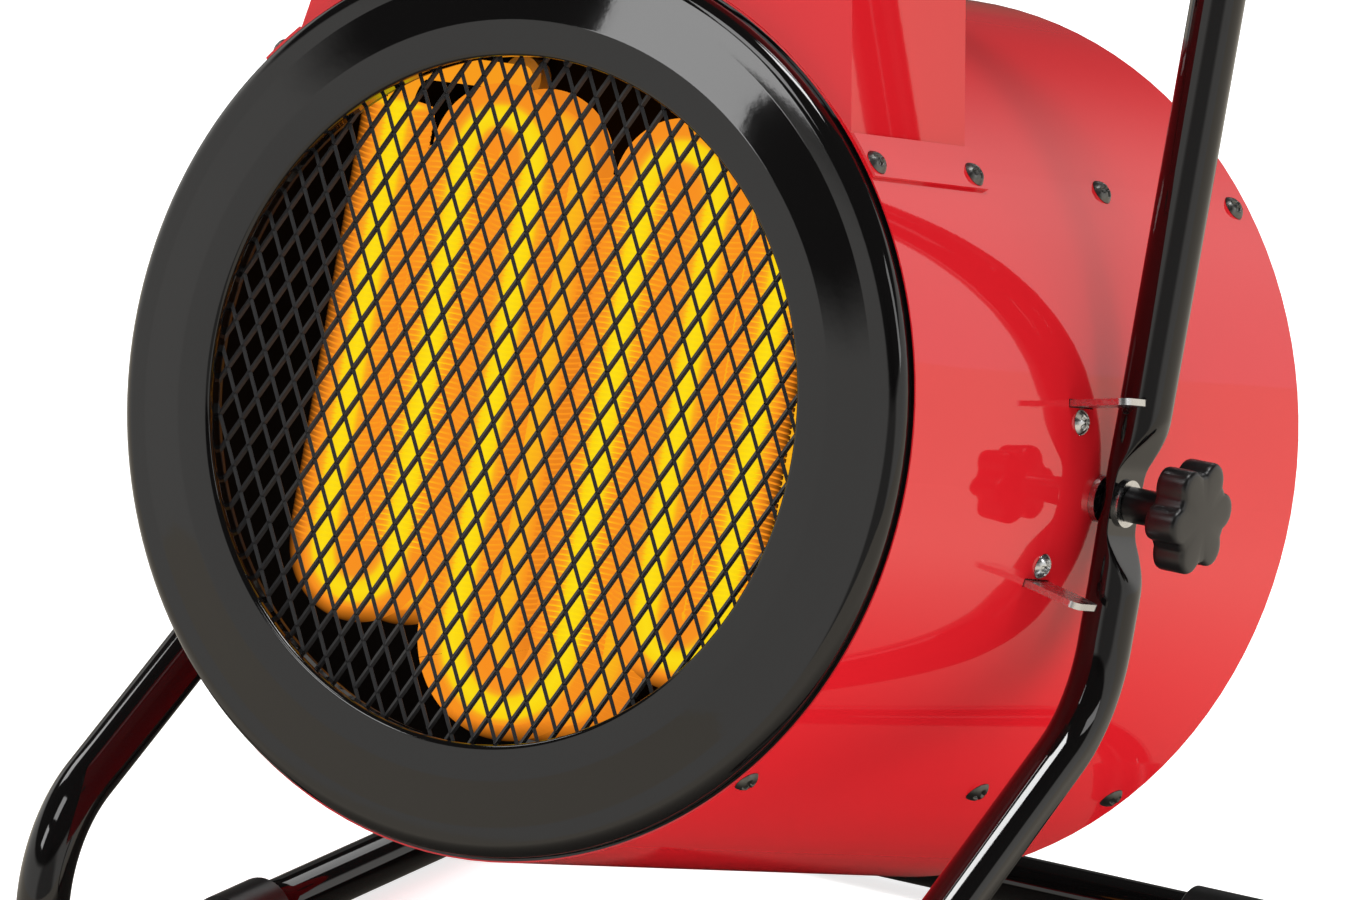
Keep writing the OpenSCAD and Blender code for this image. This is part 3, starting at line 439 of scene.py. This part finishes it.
def elementRoute(endHeight, tail):
    # legs joined by half turns, from the left end to the right one, with bare tails to the back
    legs, bends, endBend = element["legs"], element["bends"], element["endBend"]
    heights = [endHeight - endBend] + bends + [endHeight - endBend]
    leftEnd, rightEnd = [leg * xAxis + endHeight * zAxis for leg in (legs[0], legs[-1])]
    toCentre = endBend * (yAxis - zAxis)
    route = [straight(leftEnd + tail * yAxis, leftEnd + endBend * yAxis, False),
             curved(leftEnd + toCentre, zAxis, -yAxis, endBend, math.pi / 2, False)]
    for i, leg in enumerate(legs):
        route.append(straight(leg * xAxis + heights[i] * zAxis, leg * xAxis + heights[i + 1] * zAxis))
        if i < len(bends):
            radius = (legs[i + 1] - leg) / 2
            centre = (leg + radius) * xAxis + bends[i] * zAxis
            route.append(curved(centre, -xAxis, zAxis if i % 2 else -zAxis, radius, math.pi))
    route += [curved(rightEnd + toCentre, -yAxis, zAxis, endBend, math.pi / 2, False),
              straight(rightEnd + endBend * yAxis, rightEnd + tail * yAxis, False)]
    return route


def routeAt(piece, along):
    if not piece["radius"]:
        return piece["start"] + piece["ahead"] * along, piece["ahead"]
    angle = along / piece["radius"]
    out = math.cos(angle) * piece["out"] + math.sin(angle) * piece["turn"]
    ahead = math.cos(angle) * piece["turn"] - math.sin(angle) * piece["out"]
    return piece["centre"] + piece["radius"] * out, ahead


def paintedFadeSide(piece, centre):
    # the outer side of the outer legs and of the lower bends, where the fins get painted shade towards
    # their edge
    outward = Vector()
    if not piece["radius"] and abs(centre.x) > element["legs"][-2] + element["tube"]:
        outward.x = math.copysign(1, centre.x)
    elif piece["radius"] and piece["centre"].z < 0:
        outward = (centre - piece["centre"]).normalized()
        if outward.x * piece["centre"].x <= 0:   # a neighbour's glow lies on this side, so it gets no painted shade
            outward.x = 0
    across = outward - element["towardCamera"] * outward.dot(element["towardCamera"])
    return across.normalized() * outward.length


def elementLoop(piece, along, radius, lean, place):
    # points round the sheath or a fin, each with its glow level, which holds heat, a painted highlight and
    # painted shade
    size = element
    centre, ahead = routeAt(piece, along)
    paintedFade = paintedFadeSide(piece, centre)
    first = (size["towardCamera"] - ahead * size["towardCamera"].dot(ahead)).normalized()
    other = ahead.cross(first)
    atTube, atEdge = place["heatAndPaintedGlow"]
    bandFrom, bandFull = size["cameraBand"]
    shift = yAxis * (drumFront + place["depth"])
    loop = []
    for angle in aroundCircle(size["sides"]):
        out = math.cos(angle) * first + math.sin(angle) * other
        heatAndPaintedGlow = atTube if piece["finned"] else atTube * size["tailWarmth"]
        if radius > size["tube"]:
            # painted highlight: the side of a fin towards the camera glows as bright as the sheath
            heatAndPaintedGlow = atEdge + (atTube - atEdge) * clamped((math.cos(angle) - bandFrom) / (bandFull - bandFrom))
            # painted shade: the fin darkens towards its outer side
            heatAndPaintedGlow *= 1 - max(0.0, out.dot(paintedFade) - size["paintedFadeFrom"]) / (1 - size["paintedFadeFrom"])
        loop.append((centre + radius * out + ahead * lean * math.cos(angle) + shift, heatAndPaintedGlow))
    return loop


def makeElement(node, place):
    size = element
    route = elementRoute(place["endHeight"], size["ends"] - place["depth"])
    loops = []
    for piece in route:
        fin, crowd = size["fin"], 1.0
        if piece["radius"]:
            fin = min(fin, piece["radius"] - size["bendRoom"])
            crowd += fin / piece["radius"]   # as dense at a bend's outer edge as on the legs
        steps, outline = size["bareSteps"], ()
        if piece["finned"]:
            steps = max(2, int(piece["length"] * crowd / size["pitch"]))
            rootLean = size["lean"] * size["tube"] / fin
            outline = ((-0.5, size["tube"], rootLean), (-0.5, fin, size["lean"]),
                       (0.5, fin, size["lean"]), (0.5, size["tube"], rootLean))
        pitch = piece["length"] / steps
        for i in range(steps):
            loops.append(elementLoop(piece, i * pitch, size["tube"], 0, place))
            for edge, radius, lean in outline:
                along = (i + 0.5) * pitch + edge * size["finThick"]
                loops.append(elementLoop(piece, along, radius, lean, place))
    loops.append(elementLoop(route[-1], route[-1]["length"], size["tube"], 0, place))
    points, faces = joinRings([[point for point, heatAndPaintedGlow in loop] for loop in loops])
    piece = addPiece(node.replace("_e", "E") + "Fins", points, faces, hotSteel, "drum",
                     [node], drumSpace, True)
    layer = piece.data.attributes.new("heatAndPaintedGlow", "FLOAT", "POINT")
    layer.data.foreach_set("value", [heatAndPaintedGlow for loop in loops for point, heatAndPaintedGlow in loop])


for name, place in elementPlaces.items():
    makeElement(name, place)
print("elements made")


# front ring: one deep-drawn sheet with a rolled rim, a shallow cone, a flat band and a turned-in lip
frontRing = {"skirtRadius": 136.1 * mm, "skirtEnd": 14 * mm, "rimRound": 5 * mm, "rimPlace": -2 * mm,
             "coneInset": 4 * mm, "coneRise": 0.77 * mm, "face": -10.4 * mm, "bandOuter": 113.4 * mm,
             "opening": 102.6 * mm, "lip": -4.8 * mm, "wall": 1 * mm,
             "coneRound": 3 * mm, "bandRound": 4 * mm, "lipRound": 1.6 * mm,
             "arcStep": 0.4 * mm, "runStep": 6 * mm, "sides": 192}


def makeRing():
    size = frontRing
    crest = size["rimPlace"] - size["rimRound"]
    coneOuter = size["skirtRadius"] - size["rimRound"] - size["coneInset"]
    corners = [(size["skirtRadius"], size["skirtEnd"]), (size["skirtRadius"], crest),
               (coneOuter, crest - size["coneRise"]), (size["bandOuter"], size["face"]),
               (size["opening"], size["face"]), (size["opening"], size["lip"])]
    rounds = [size["rimRound"], size["coneRound"], size["bandRound"], size["lipRound"]]
    outer = [Vector((radius, along, 0)) for radius, along in corners]
    line = roundCorners(outer, rounds, size["arcStep"], size["runStep"])
    front = [(p.x, p.y) for p, ahead in line]
    behind = [(p.x + ahead.y * size["wall"], p.y - ahead.x * size["wall"]) for p, ahead in line]
    points, faces = revolve(front + behind[::-1], yAxis * drumFront, yAxis, size["sides"])
    addPiece("rolledRing", points, faces, blackPaint, "drum", ["front_ring"], drumSpace)


makeRing()
print("front ring made")


# stand: bent tube, its outer half pressed flat where the clamp studs pass
stand = {"radius": 8.2 * mm, "side": 147.8 * mm, "back": math.radians(16), "handleUp": 250 * mm,
         "kneeDrop": 63.4 * mm, "legReach": 143 * mm, "legSlope": math.radians(27.2),
         "rearReach": 144.4 * mm, "floor": 10.2 * mm, "collarAhead": 34.6 * mm, "jointGap": 0.5 * mm,
         "flat": -1.2 * mm, "flatHalf": 10 * mm, "pressHalf": 25 * mm, "crease": 0.7 * mm, "spread": 0.07,
         "bends": {"floor": 26 * mm, "shin": 44 * mm, "knee": 48 * mm, "handle": 55 * mm, "rear": 33 * mm},
         "sides": 48, "arcStep": 2.5 * mm, "pressStep": 0.8 * mm, "runStep": 9 * mm, "rearStep": 20 * mm,
         "pressReach": 40 * mm, "nearTube": 2 * mm, "parallel": 0.999, "sameWay": 1e-4}
upright = Vector((0, math.sin(stand["back"]), math.cos(stand["back"])))


def roundSection(place, u, v):
    return stand["radius"] * u, stand["radius"] * v


def pressedSection(place, u, v):
    size, radius = stand, stand["radius"]
    side = 1 if place.x > 0 else -1
    reach = place - pivot - xAxis * side * size["side"]
    along = reach.dot(upright)
    u, v = roundSection(place, u, v)
    inside = abs(place.x) < size["side"] - size["nearTube"]
    offUpright = (reach - upright * along).length > size["nearTube"]
    if inside or offUpright or abs(along) > size["pressReach"]:
        return u, v
    slope = (radius - size["flat"]) / (size["pressHalf"] - size["flatHalf"])
    ramp = size["flat"] + (abs(along) - size["flatHalf"]) * slope
    limit = -softLeast(-size["flat"], -ramp, size["crease"])
    pressed = clamped((radius - limit) / (radius - size["flat"]))
    return softLeast(u, limit, size["crease"]), v * (1 + size["spread"] * pressed)


def thinRuns(path):
    # close steps stay where the tube is pressed or bent, and the other straight runs get long ones
    size = stand
    kept = [path[0]]
    for (place, ahead), (_, afterWay) in zip(path[1:], path[2:]):
        last, lastWay = kept[-1]
        nearPress = (abs((place - pivot).dot(upright)) < size["pressReach"] + size["nearTube"]
                     and abs(ahead.dot(upright)) > size["parallel"])
        steady = max(ahead.angle(lastWay, 0), ahead.angle(afterWay, 0)) < size["sameWay"]
        if nearPress or not steady or (place - last).length >= size["runStep"]:
            kept.append((place, ahead))
    return kept + [path[-1]]


def mirrored(corners):
    return corners + [Vector((-p.x, p.y, p.z)) for p in reversed(corners)]


def makeStand():
    size, bends = stand, stand["bends"]
    side = xAxis * size["side"]
    joint = side + Vector((0, pivot.y - size["collarAhead"], size["floor"]))
    toGap = yAxis * size["jointGap"] / 2
    toe = side + Vector((0, pivot.y - size["legReach"], size["floor"]))
    knee = pivot + side - upright * size["kneeDrop"]
    shin = side + Vector((0, toe.y, knee.z - (knee.y - toe.y) * math.tan(size["legSlope"])))
    shoulder = pivot + side + upright * size["handleUp"]
    sideBends = [bends["floor"], bends["shin"], bends["knee"], bends["handle"]]
    path = roundCorners(mirrored([joint - toGap, toe, shin, knee, shoulder]), sideBends + sideBends[::-1],
                        size["arcStep"], size["pressStep"])
    points, faces = sweepTube(thinRuns(path), xAxis, size["sides"], pressedSection)
    addPiece("bentTube", points, faces, blackPaint, "stand", ["stand_frame"])
    corner = side + Vector((0, pivot.y + size["rearReach"], size["floor"]))
    path = roundCorners(mirrored([joint + toGap, corner]), [bends["rear"], bends["rear"]],
                        size["arcStep"], size["rearStep"])
    points, faces = sweepTube(path, xAxis, size["sides"], roundSection)
    addPiece("rearTube", points, faces, blackPaint, "stand", ["rear_loop"])


makeStand()
print("stand made")


# screws: pan heads with a pressed cross, black on the drum and bright on the brackets
# rings are shares of the head's radius, and turn says how each cross lies, in radians
screw = {"head": 4.0 * mm, "rise": 2.4 * mm, "shank": 2.0 * mm, "length": 6 * mm, "slot": 0.62 * mm,
         "slotReach": 2.3 * mm, "slotDepth": 1.2 * mm, "slotSide": 0.3 * mm, "slotEnd": 0.5 * mm,
         "sides": 56,
         "rings": (0.02, 0.1, 0.17, 0.24, 0.3, 0.36, 0.42, 0.48, 0.54, 0.6, 0.66, 0.75, 0.85, 0.93, 0.98,
                   1.0),
         "turn": {"first": 0.35, "next": 0.9, "side": 0.5}, "topAngle": 40.5, "lowAngle": -44.5,
         "onDrum": 137.55 * mm, "onBox": 138.8 * mm, "onBrackets": ((9.2, -16.27 * mm), (-9.2, -24.5 * mm)),
         "rows": {"ring": 5 * mm, "box": 62.6 * mm, "bracket": 142 * mm, "guard": 225 * mm}}


def headRise(x, y):
    # height of the domed head, less the cross
    size = screw
    ball = (size["head"] ** 2 + size["rise"] ** 2) / (2 * size["rise"])
    rise = math.sqrt(max(0.0, ball ** 2 - x ** 2 - y ** 2)) - ball + size["rise"]
    near, far = sorted((abs(x), abs(y)))
    between = clamped((size["slot"] - near) / size["slotSide"] + 0.5)
    within = clamped((size["slotReach"] - far) / size["slotEnd"] + 0.5)
    return max(rise - size["slotDepth"] * between * within, 0.0)


def screwHead(place, out, turn):
    size = screw
    first = (yAxis - out * out.y).normalized()
    second = out.cross(first)
    angles = aroundCircle(size["sides"])
    ways = [first * math.cos(angle) + second * math.sin(angle) for angle in angles]
    rings = [[place - out * depth + way * size["shank"] for way in ways] for depth in (size["length"], 0.0)]
    for share in reversed(size["rings"]):
        radius = size["head"] * share
        rings.append([place + way * radius
                      + out * headRise(radius * math.cos(angle - turn), radius * math.sin(angle - turn))
                      for angle, way in zip(angles, ways)])
    return joinRings(rings)


def screwPairs(spots):
    heads = []
    turn = screw["turn"]
    for i, (angle, along, radius) in enumerate(spots):
        for side in (1, -1):
            out = Vector((side * math.cos(math.radians(angle)), 0, math.sin(math.radians(angle))))
            turned = turn["first"] + turn["next"] * i + turn["side"] * side
            heads.append(screwHead(out * radius + yAxis * along, out, turned))
    return addMeshes(heads)


def makeScrews():
    size = screw
    rows = {name: drumFront + along for name, along in size["rows"].items()}
    onDrum = [(size["lowAngle"], rows["ring"], size["onDrum"])]
    onDrum += [(angle, rows[row], size["onDrum"])
               for angle in (size["topAngle"], size["lowAngle"]) for row in ("bracket", "guard")]
    onBox = [(size["topAngle"], rows[row], size["onBox"]) for row in ("ring", "box")]
    onBrackets = [(angle, along, size["onDrum"]) for angle, along in size["onBrackets"]]
    for name, spots, node, material, slotName in (
            ("drumPanHeads", onDrum, "drum_screws", screwBlack, "black_screw"),
            ("boxPanHeads", onBox, "box_screws", screwBlack, "black_screw"),
            ("bracketPanHeads", onBrackets, "bracket_screws", zincPlate, "zinc")):
        points, faces = screwPairs(spots)
        addPiece(name, points, faces, material, "drum", [node], drumSpace)


makeScrews()
print("screws made")


# clamp knobs: six-lobed star moulded on a hub, over a plain stud
knob = {"radius": 17.5 * mm, "lobes": 6, "lobe": 0.31, "waist": 0.79, "soft": 0.025,
        "turn": math.radians(14), "stud": 3 * mm, "studStart": 128.3 * mm, "tipRadius": 2.7 * mm,
        "tipLength": 0.4 * mm, "hub": 5.4 * mm, "hubStart": 147.85 * mm, "hubLength": 15 * mm,
        "hubEdge": 0.6 * mm, "hubDish": 0.1 * mm, "sides": 144}
# rounds in mm, each place from the star's back: a radius for hub, foot and crown, an inset for the edge
knobRounds = {"hub": ((-1.4, 5.4), (-0.5, 5.9)), "foot": (-0.1, 5.6), "footLobes": 0.1,
              "edge": ((0.0, 2.2), (0.15, 1.2), (0.6, 0.45), (1.3, 0.1), (2.2, 0.0), (9.2, 0.0),
                       (9.9, 0.12), (10.5, 0.5), (10.85, 1.1), (11.0, 1.9), (11.1, 4.0)),
              "crown": ((11.3, 6.75), (11.35, 3.25))}


def lobeReach(angle):
    # the star's outline as a share of its radius: round lobes on a round waist
    step = 2 * math.pi / knob["lobes"]
    off = (angle + step / 2) % step - step / 2
    centre = 1 - knob["lobe"]
    across = centre * math.sin(off)
    reach = 0.0
    if abs(across) <= knob["lobe"]:
        reach = centre * math.cos(off) + math.sqrt(knob["lobe"] ** 2 - across ** 2)
    return -softLeast(-reach, -knob["waist"], knob["soft"])


def makeKnob(name, node, body, side):
    size = knob
    tip, start, back = size["studStart"], size["hubStart"], size["hubStart"] + size["hubLength"]
    # each layer: place along the stud, round radius, share of the star's outline added to it
    layers = [(tip, size["tipRadius"], 0), (tip + size["tipLength"], size["stud"], 0),
              (start + size["hubDish"], size["stud"], 0), (start, size["hub"] - size["hubEdge"], 0),
              (start + size["hubEdge"], size["hub"], 0)]
    footPlace, footRadius = knobRounds["foot"]
    layers += [(back + along * mm, radius * mm, 0) for along, radius in knobRounds["hub"]]
    layers.append((back + footPlace * mm, footRadius * mm, knobRounds["footLobes"]))
    layers += [(back + along * mm, -inset * mm, 1) for along, inset in knobRounds["edge"]]
    layers += [(back + along * mm, radius * mm, 0) for along, radius in knobRounds["crown"]]
    rings = []
    for along, base, share in reversed(layers):
        ring = []
        for angle in aroundCircle(size["sides"]):
            radius = base + share * size["radius"] * lobeReach(angle - size["turn"])
            ring.append(Vector((side * along, side * radius * math.cos(angle), radius * math.sin(angle))))
        rings.append(ring)
    points, faces = joinRings(rings)
    addPiece(name, points, faces, knobPlastic, body, [node], drumSpace)


makeKnob("rightStar", "right_knob", "right_clamp", 1)
makeKnob("leftStar", "left_knob", "left_clamp", -1)
print("knobs made")


# printed marks: a ring of ticks round each dial and an index line on its grip
marks = {"top": 179.5 * mm, "across": 38 * mm, "along": -81 * mm, "inner": 19.5 * mm, "width": 0.9 * mm,
         "endTick": 3 * mm, "tick": 2.25 * mm, "thick": 0.12 * mm, "gripTop": 197.1 * mm,
         "indexAt": 7.2 * mm, "indexLength": 8.5 * mm, "indexWidth": 1.3 * mm}
# side of the panel, sweep in degrees and number of ticks
dials = {"selector": {"name": "selectorIndex", "side": 1, "sweep": 135, "ticks": 4},
         "thermostat_dial": {"name": "thermostatIndex", "side": -1, "sweep": 270, "ticks": 10}}


def printedBar(centre, direction, length, width):
    crosswise = Vector((-direction.y, direction.x, 0))
    corners = [direction * a * length / 2 + crosswise * b * width / 2 for a, b in squareCorners]
    points = [centre + corner + zAxis * rise for rise in (0, marks["thick"]) for corner in corners]
    return points, barFaces


def makeMarks():
    size = marks
    bars = []
    for dial in dials.values():
        centre = Vector((dial["side"] * size["across"], size["along"], size["top"]))
        last = dial["ticks"] - 1
        for i in range(dial["ticks"]):
            angle = math.radians(dial["sweep"] * i / last + 90)
            out = Vector((math.cos(angle), math.sin(angle), 0))
            length = size["endTick"] if i in (0, last) else size["tick"]
            bars.append(printedBar(centre + out * (size["inner"] + length / 2), out, length, size["width"]))
    points, faces = addMeshes(bars)
    addPiece("panelTicks", points, faces, whiteInk, "drum", (), drumSpace, True)
    for body, dial in dials.items():
        centre = Vector((dial["side"] * size["across"], size["along"] + size["indexAt"], size["gripTop"]))
        points, faces = printedBar(centre, yAxis, size["indexLength"], size["indexWidth"])
        addPiece(dial["name"], points, faces, whiteInk, body, (), drumSpace, True)


makeMarks()
print("marks made")


# folded sheet and moulded edges are never sharp: widths of their rounds, on edges past the angle
softEdges = {"angle": math.radians(40), "segments": 2,
             "widths": {"control_box": 1.4 * mm, "left_pivot_bracket": 0.35 * mm,
                        "right_pivot_bracket": 0.35 * mm, "outer_washers": 0.25 * mm,
                        "control_panel": 0.5 * mm, "cable_gland": 0.4 * mm, "selector_knob": 0.6 * mm,
                        "thermostat_knob": 0.6 * mm, "joint_collars": 0.6 * mm, "front_feet": 0.6 * mm,
                        "rear_feet": 0.6 * mm}}
for name, width in softEdges["widths"].items():
    modifier = nodes[name].modifiers.new("soft edges", "BEVEL")
    modifier.width = width
    modifier.segments = softEdges["segments"]
    modifier.limit_method = "ANGLE"
    modifier.angle_limit = softEdges["angle"]
    modifier.harden_normals = True
print("edges softened")


# studio: a pale floor, and what reflections see of it: a painted shadow under the heater, and dark at the
# back on the left
smooth = {"interpolation_type": "SMOOTHSTEP"}
white = linear("#ffffff")
backLeft = Vector((-0.5, 0.85, 0))
studioFloor = {"colour": "#f0f0f0", "mirrored": "#fff5e4", "halfWidth": 6.0, "shown": 0.72,
               "paintedShadowUnderHeater": {"From Min": 0.1, "From Max": 0.5, "To Min": 0.05, "To Max": 1.0},
               "atBackLeft": {"From Min": 0.8, "From Max": 0.96, "To Min": 1.0, "To Max": 0.1},
               "paintedBounceRight": {"From Min": -0.15, "From Max": 0.25, "To Min": 0.1, "To Max": 0.75},
               "paintedBounceNear": {"From Min": 0.35, "From Max": 0.8, "To Min": 1.0, "To Max": 0.2}}


def makeFloor():
    # to the camera, white with a faint shadow; near the drum's right side it also glows, unseen by camera
    # and reflections, as a painted bounce light on the drum
    size = studioFloor
    half = size["halfWidth"]
    mesh = bpy.data.meshes.new("floor")
    mesh.from_pydata([(a * half, b * half, 0) for a, b in squareCorners], [], [(0, 1, 2, 3)])
    floor = bpy.data.objects.new("floor", mesh)
    bpy.context.scene.collection.objects.link(floor)
    material, tree = newMaterial("Pale studio floor")
    rays = addNode(tree, "ShaderNodeLightPath").outputs
    coords = addNode(tree, "ShaderNodeTexCoord").outputs["Object"]
    reach = addNode(tree, "ShaderNodeVectorMath", links={0: coords}, operation="LENGTH").outputs["Value"]
    across = addNode(tree, "ShaderNodeSeparateXYZ", links={0: coords}).outputs["X"]
    bearing = addNode(tree, "ShaderNodeVectorMath", links={0: coords}, operation="NORMALIZE").outputs[0]
    behind = addNode(tree, "ShaderNodeVectorMath", {1: backLeft}, {0: bearing}, operation="DOT_PRODUCT")
    # painted shadow: to reflections the floor darkens under the heater
    under = addNode(tree, "ShaderNodeMapRange", size["paintedShadowUnderHeater"], {"Value": reach}, **smooth)
    dimmed = addNode(tree, "ShaderNodeMapRange", size["atBackLeft"], {"Value": behind.outputs["Value"]},
                     **smooth)
    seen = addNode(tree, "ShaderNodeMath", links={0: under.outputs[0], 1: dimmed.outputs[0]},
                   operation="MULTIPLY")
    # painted bounce: a glow on the floor near the drum's right side lights its lower half
    toRight = addNode(tree, "ShaderNodeMapRange", size["paintedBounceRight"], {"Value": across}, **smooth)
    nearby = addNode(tree, "ShaderNodeMapRange", size["paintedBounceNear"], {"Value": reach}, **smooth)
    paintedBounce = addNode(tree, "ShaderNodeMath", links={0: toRight.outputs[0], 1: nearby.outputs[0]},
                     operation="MULTIPLY")
    lift = addNode(tree, "ShaderNodeMix", {3: size["shown"]},
                   {0: rays["Is Camera Ray"], 2: paintedBounce.outputs[0]})
    lifted = addNode(tree, "ShaderNodeEmission", {"Color": white}, {"Strength": lift.outputs[0]})
    paint = addNode(tree, "ShaderNodeBsdfDiffuse", {"Color": linear(size["colour"])})
    pale = addNode(tree, "ShaderNodeAddShader", links={0: paint.outputs[0], 1: lifted.outputs[0]})
    mirror = addNode(tree, "ShaderNodeEmission", {"Color": linear(size["mirrored"])},
                     {"Strength": seen.outputs[0]})
    mix = addNode(tree, "ShaderNodeMixShader",
                  links={0: rays["Is Glossy Ray"], 1: pale.outputs[0], 2: mirror.outputs[0]})
    addNode(tree, "ShaderNodeOutputMaterial", links={"Surface": mix.outputs[0]})
    mesh.materials.append(material)


# room: white walls low down, a dark ceiling, a dim gap behind the camera and a dark one at the back left
room = {"fill": 0.6, "walls": "#fffdf9", "cameraSide": Vector((0.53, -0.85, 0)),
        "ceiling": {"From Min": 0.31, "From Max": 0.39, "To Min": 1.0, "To Max": 0.04},
        "cameraGap": {"From Min": 0.78, "From Max": 0.92, "To Min": 1.0, "To Max": 0.3},
        "backGap": {"From Min": 0.7, "From Max": 0.98, "To Min": 1.0, "To Max": 0.08}}


def makeRoom():
    # white to the camera, an even fill to the object, and the walls to its reflections
    world = bpy.data.worlds.new("studio")
    world.use_nodes = True
    tree = world.node_tree
    tree.nodes.clear()
    rays = addNode(tree, "ShaderNodeLightPath").outputs
    ray = addNode(tree, "ShaderNodeTexCoord").outputs["Generated"]
    height = addNode(tree, "ShaderNodeSeparateXYZ", links={0: ray}).outputs["Z"]
    bright = addNode(tree, "ShaderNodeMapRange", room["ceiling"], {"Value": height}, **smooth)
    for way, fade in ((room["cameraSide"], room["cameraGap"]), (backLeft, room["backGap"])):
        facing = addNode(tree, "ShaderNodeVectorMath", {1: way}, {0: ray}, operation="DOT_PRODUCT")
        dark = addNode(tree, "ShaderNodeMapRange", fade, {"Value": facing.outputs["Value"]}, **smooth)
        bright = addNode(tree, "ShaderNodeMath", links={0: bright.outputs[0], 1: dark.outputs[0]},
                         operation="MULTIPLY")
    fill = addNode(tree, "ShaderNodeBackground", {"Color": white, "Strength": room["fill"]})
    walls = addNode(tree, "ShaderNodeBackground", {"Color": linear(room["walls"])},
                    {"Strength": bright.outputs[0]})
    shown = addNode(tree, "ShaderNodeBackground", {"Color": white, "Strength": 1.0})
    unseen = addNode(tree, "ShaderNodeMixShader",
                     links={0: rays["Is Glossy Ray"], 1: fill.outputs[0], 2: walls.outputs[0]})
    mix = addNode(tree, "ShaderNodeMixShader",
                  links={0: rays["Is Camera Ray"], 1: unseen.outputs[0], 2: shown.outputs[0]})
    addNode(tree, "ShaderNodeOutputWorld", links={"Surface": mix.outputs[0]})
    bpy.context.scene.world = world


# softboxes: where each stands and looks, its width and height in metres, and its watts
softboxes = {
    "ring softbox": {"at": (-0.72, -1.52, 1.20), "to": (0, -0.1, 0.3), "size": (0.40, 0.45), "watts": 3.6},
    "top strip": {"at": (0.46, 0.27, 2.1), "to": (0, -0.07, 0.1), "size": (0.34, 0.6), "watts": 11.5},
    "left softbox": {"at": (-1.55, 0.15, 1.5), "to": (-0.1, -0.1, 0.1), "size": (0.6, 0.5), "watts": 4.5},
    "leg softbox": {"at": (-0.19, -0.94, 1.43), "to": (-0.14, -0.14, 0.07), "size": (0.45, 0.45),
                    "watts": 3.2},
    "back softbox": {"at": (-0.3, 1.7, 1.35), "to": (0, 0.1, 0.1), "size": (0.9, 0.35), "watts": 2.0},
    "side softbox": {"at": (2.0, 0.1, 1.3), "to": (0, 0, 0.2), "size": (0.5, 0.8), "watts": 4.0},
}


def makeSoftboxes():
    for name, box in softboxes.items():
        lamp = bpy.data.lights.new(name, "AREA")
        lamp.shape = "RECTANGLE"
        lamp.size, lamp.size_y = box["size"]
        lamp.energy = box["watts"]
        light = bpy.data.objects.new(name, lamp)
        light.location = box["at"]
        light.rotation_euler = (Vector(box["to"]) - Vector(box["at"])).to_track_quat("-Z", "Y").to_euler()
        bpy.context.scene.collection.objects.link(light)


# the photograph's view: where the tilt axis falls in it in pixels, and its right and forward directions
view = {"width": 1350, "height": 900, "focal": 14000.0, "distance": 4.2694, "pivotAt": (714.2, 419.0),
        "right": Vector((0.83966, 0.54265, 0.02261)), "forward": Vector((-0.51452, 0.80809, -0.28680)),
        "sensor": 36.0}


def makeCamera():
    lens = bpy.data.cameras.new("photo camera")
    lens.sensor_width = view["sensor"]
    lens.lens = view["sensor"] * view["focal"] / view["width"]
    camera = bpy.data.objects.new("photo camera", lens)
    bpy.context.scene.collection.objects.link(camera)
    ahead = view["forward"].normalized()
    right = (view["right"] - ahead * view["right"].dot(ahead)).normalized()
    down = ahead.cross(right)
    scale = view["distance"] / view["focal"]
    across = (view["width"] / 2 - view["pivotAt"][0]) * scale
    below = (view["height"] / 2 - view["pivotAt"][1]) * scale
    centre = pivot + right * across + down * below
    turn = Matrix((right, -down, -ahead)).transposed().to_4x4()
    turn.translation = centre - ahead * view["distance"]
    camera.matrix_world = turn
    bpy.context.scene.camera = camera


makeFloor()
makeRoom()
makeSoftboxes()
makeCamera()
bpy.context.scene.view_settings.view_transform = "Standard"
print("studio made")
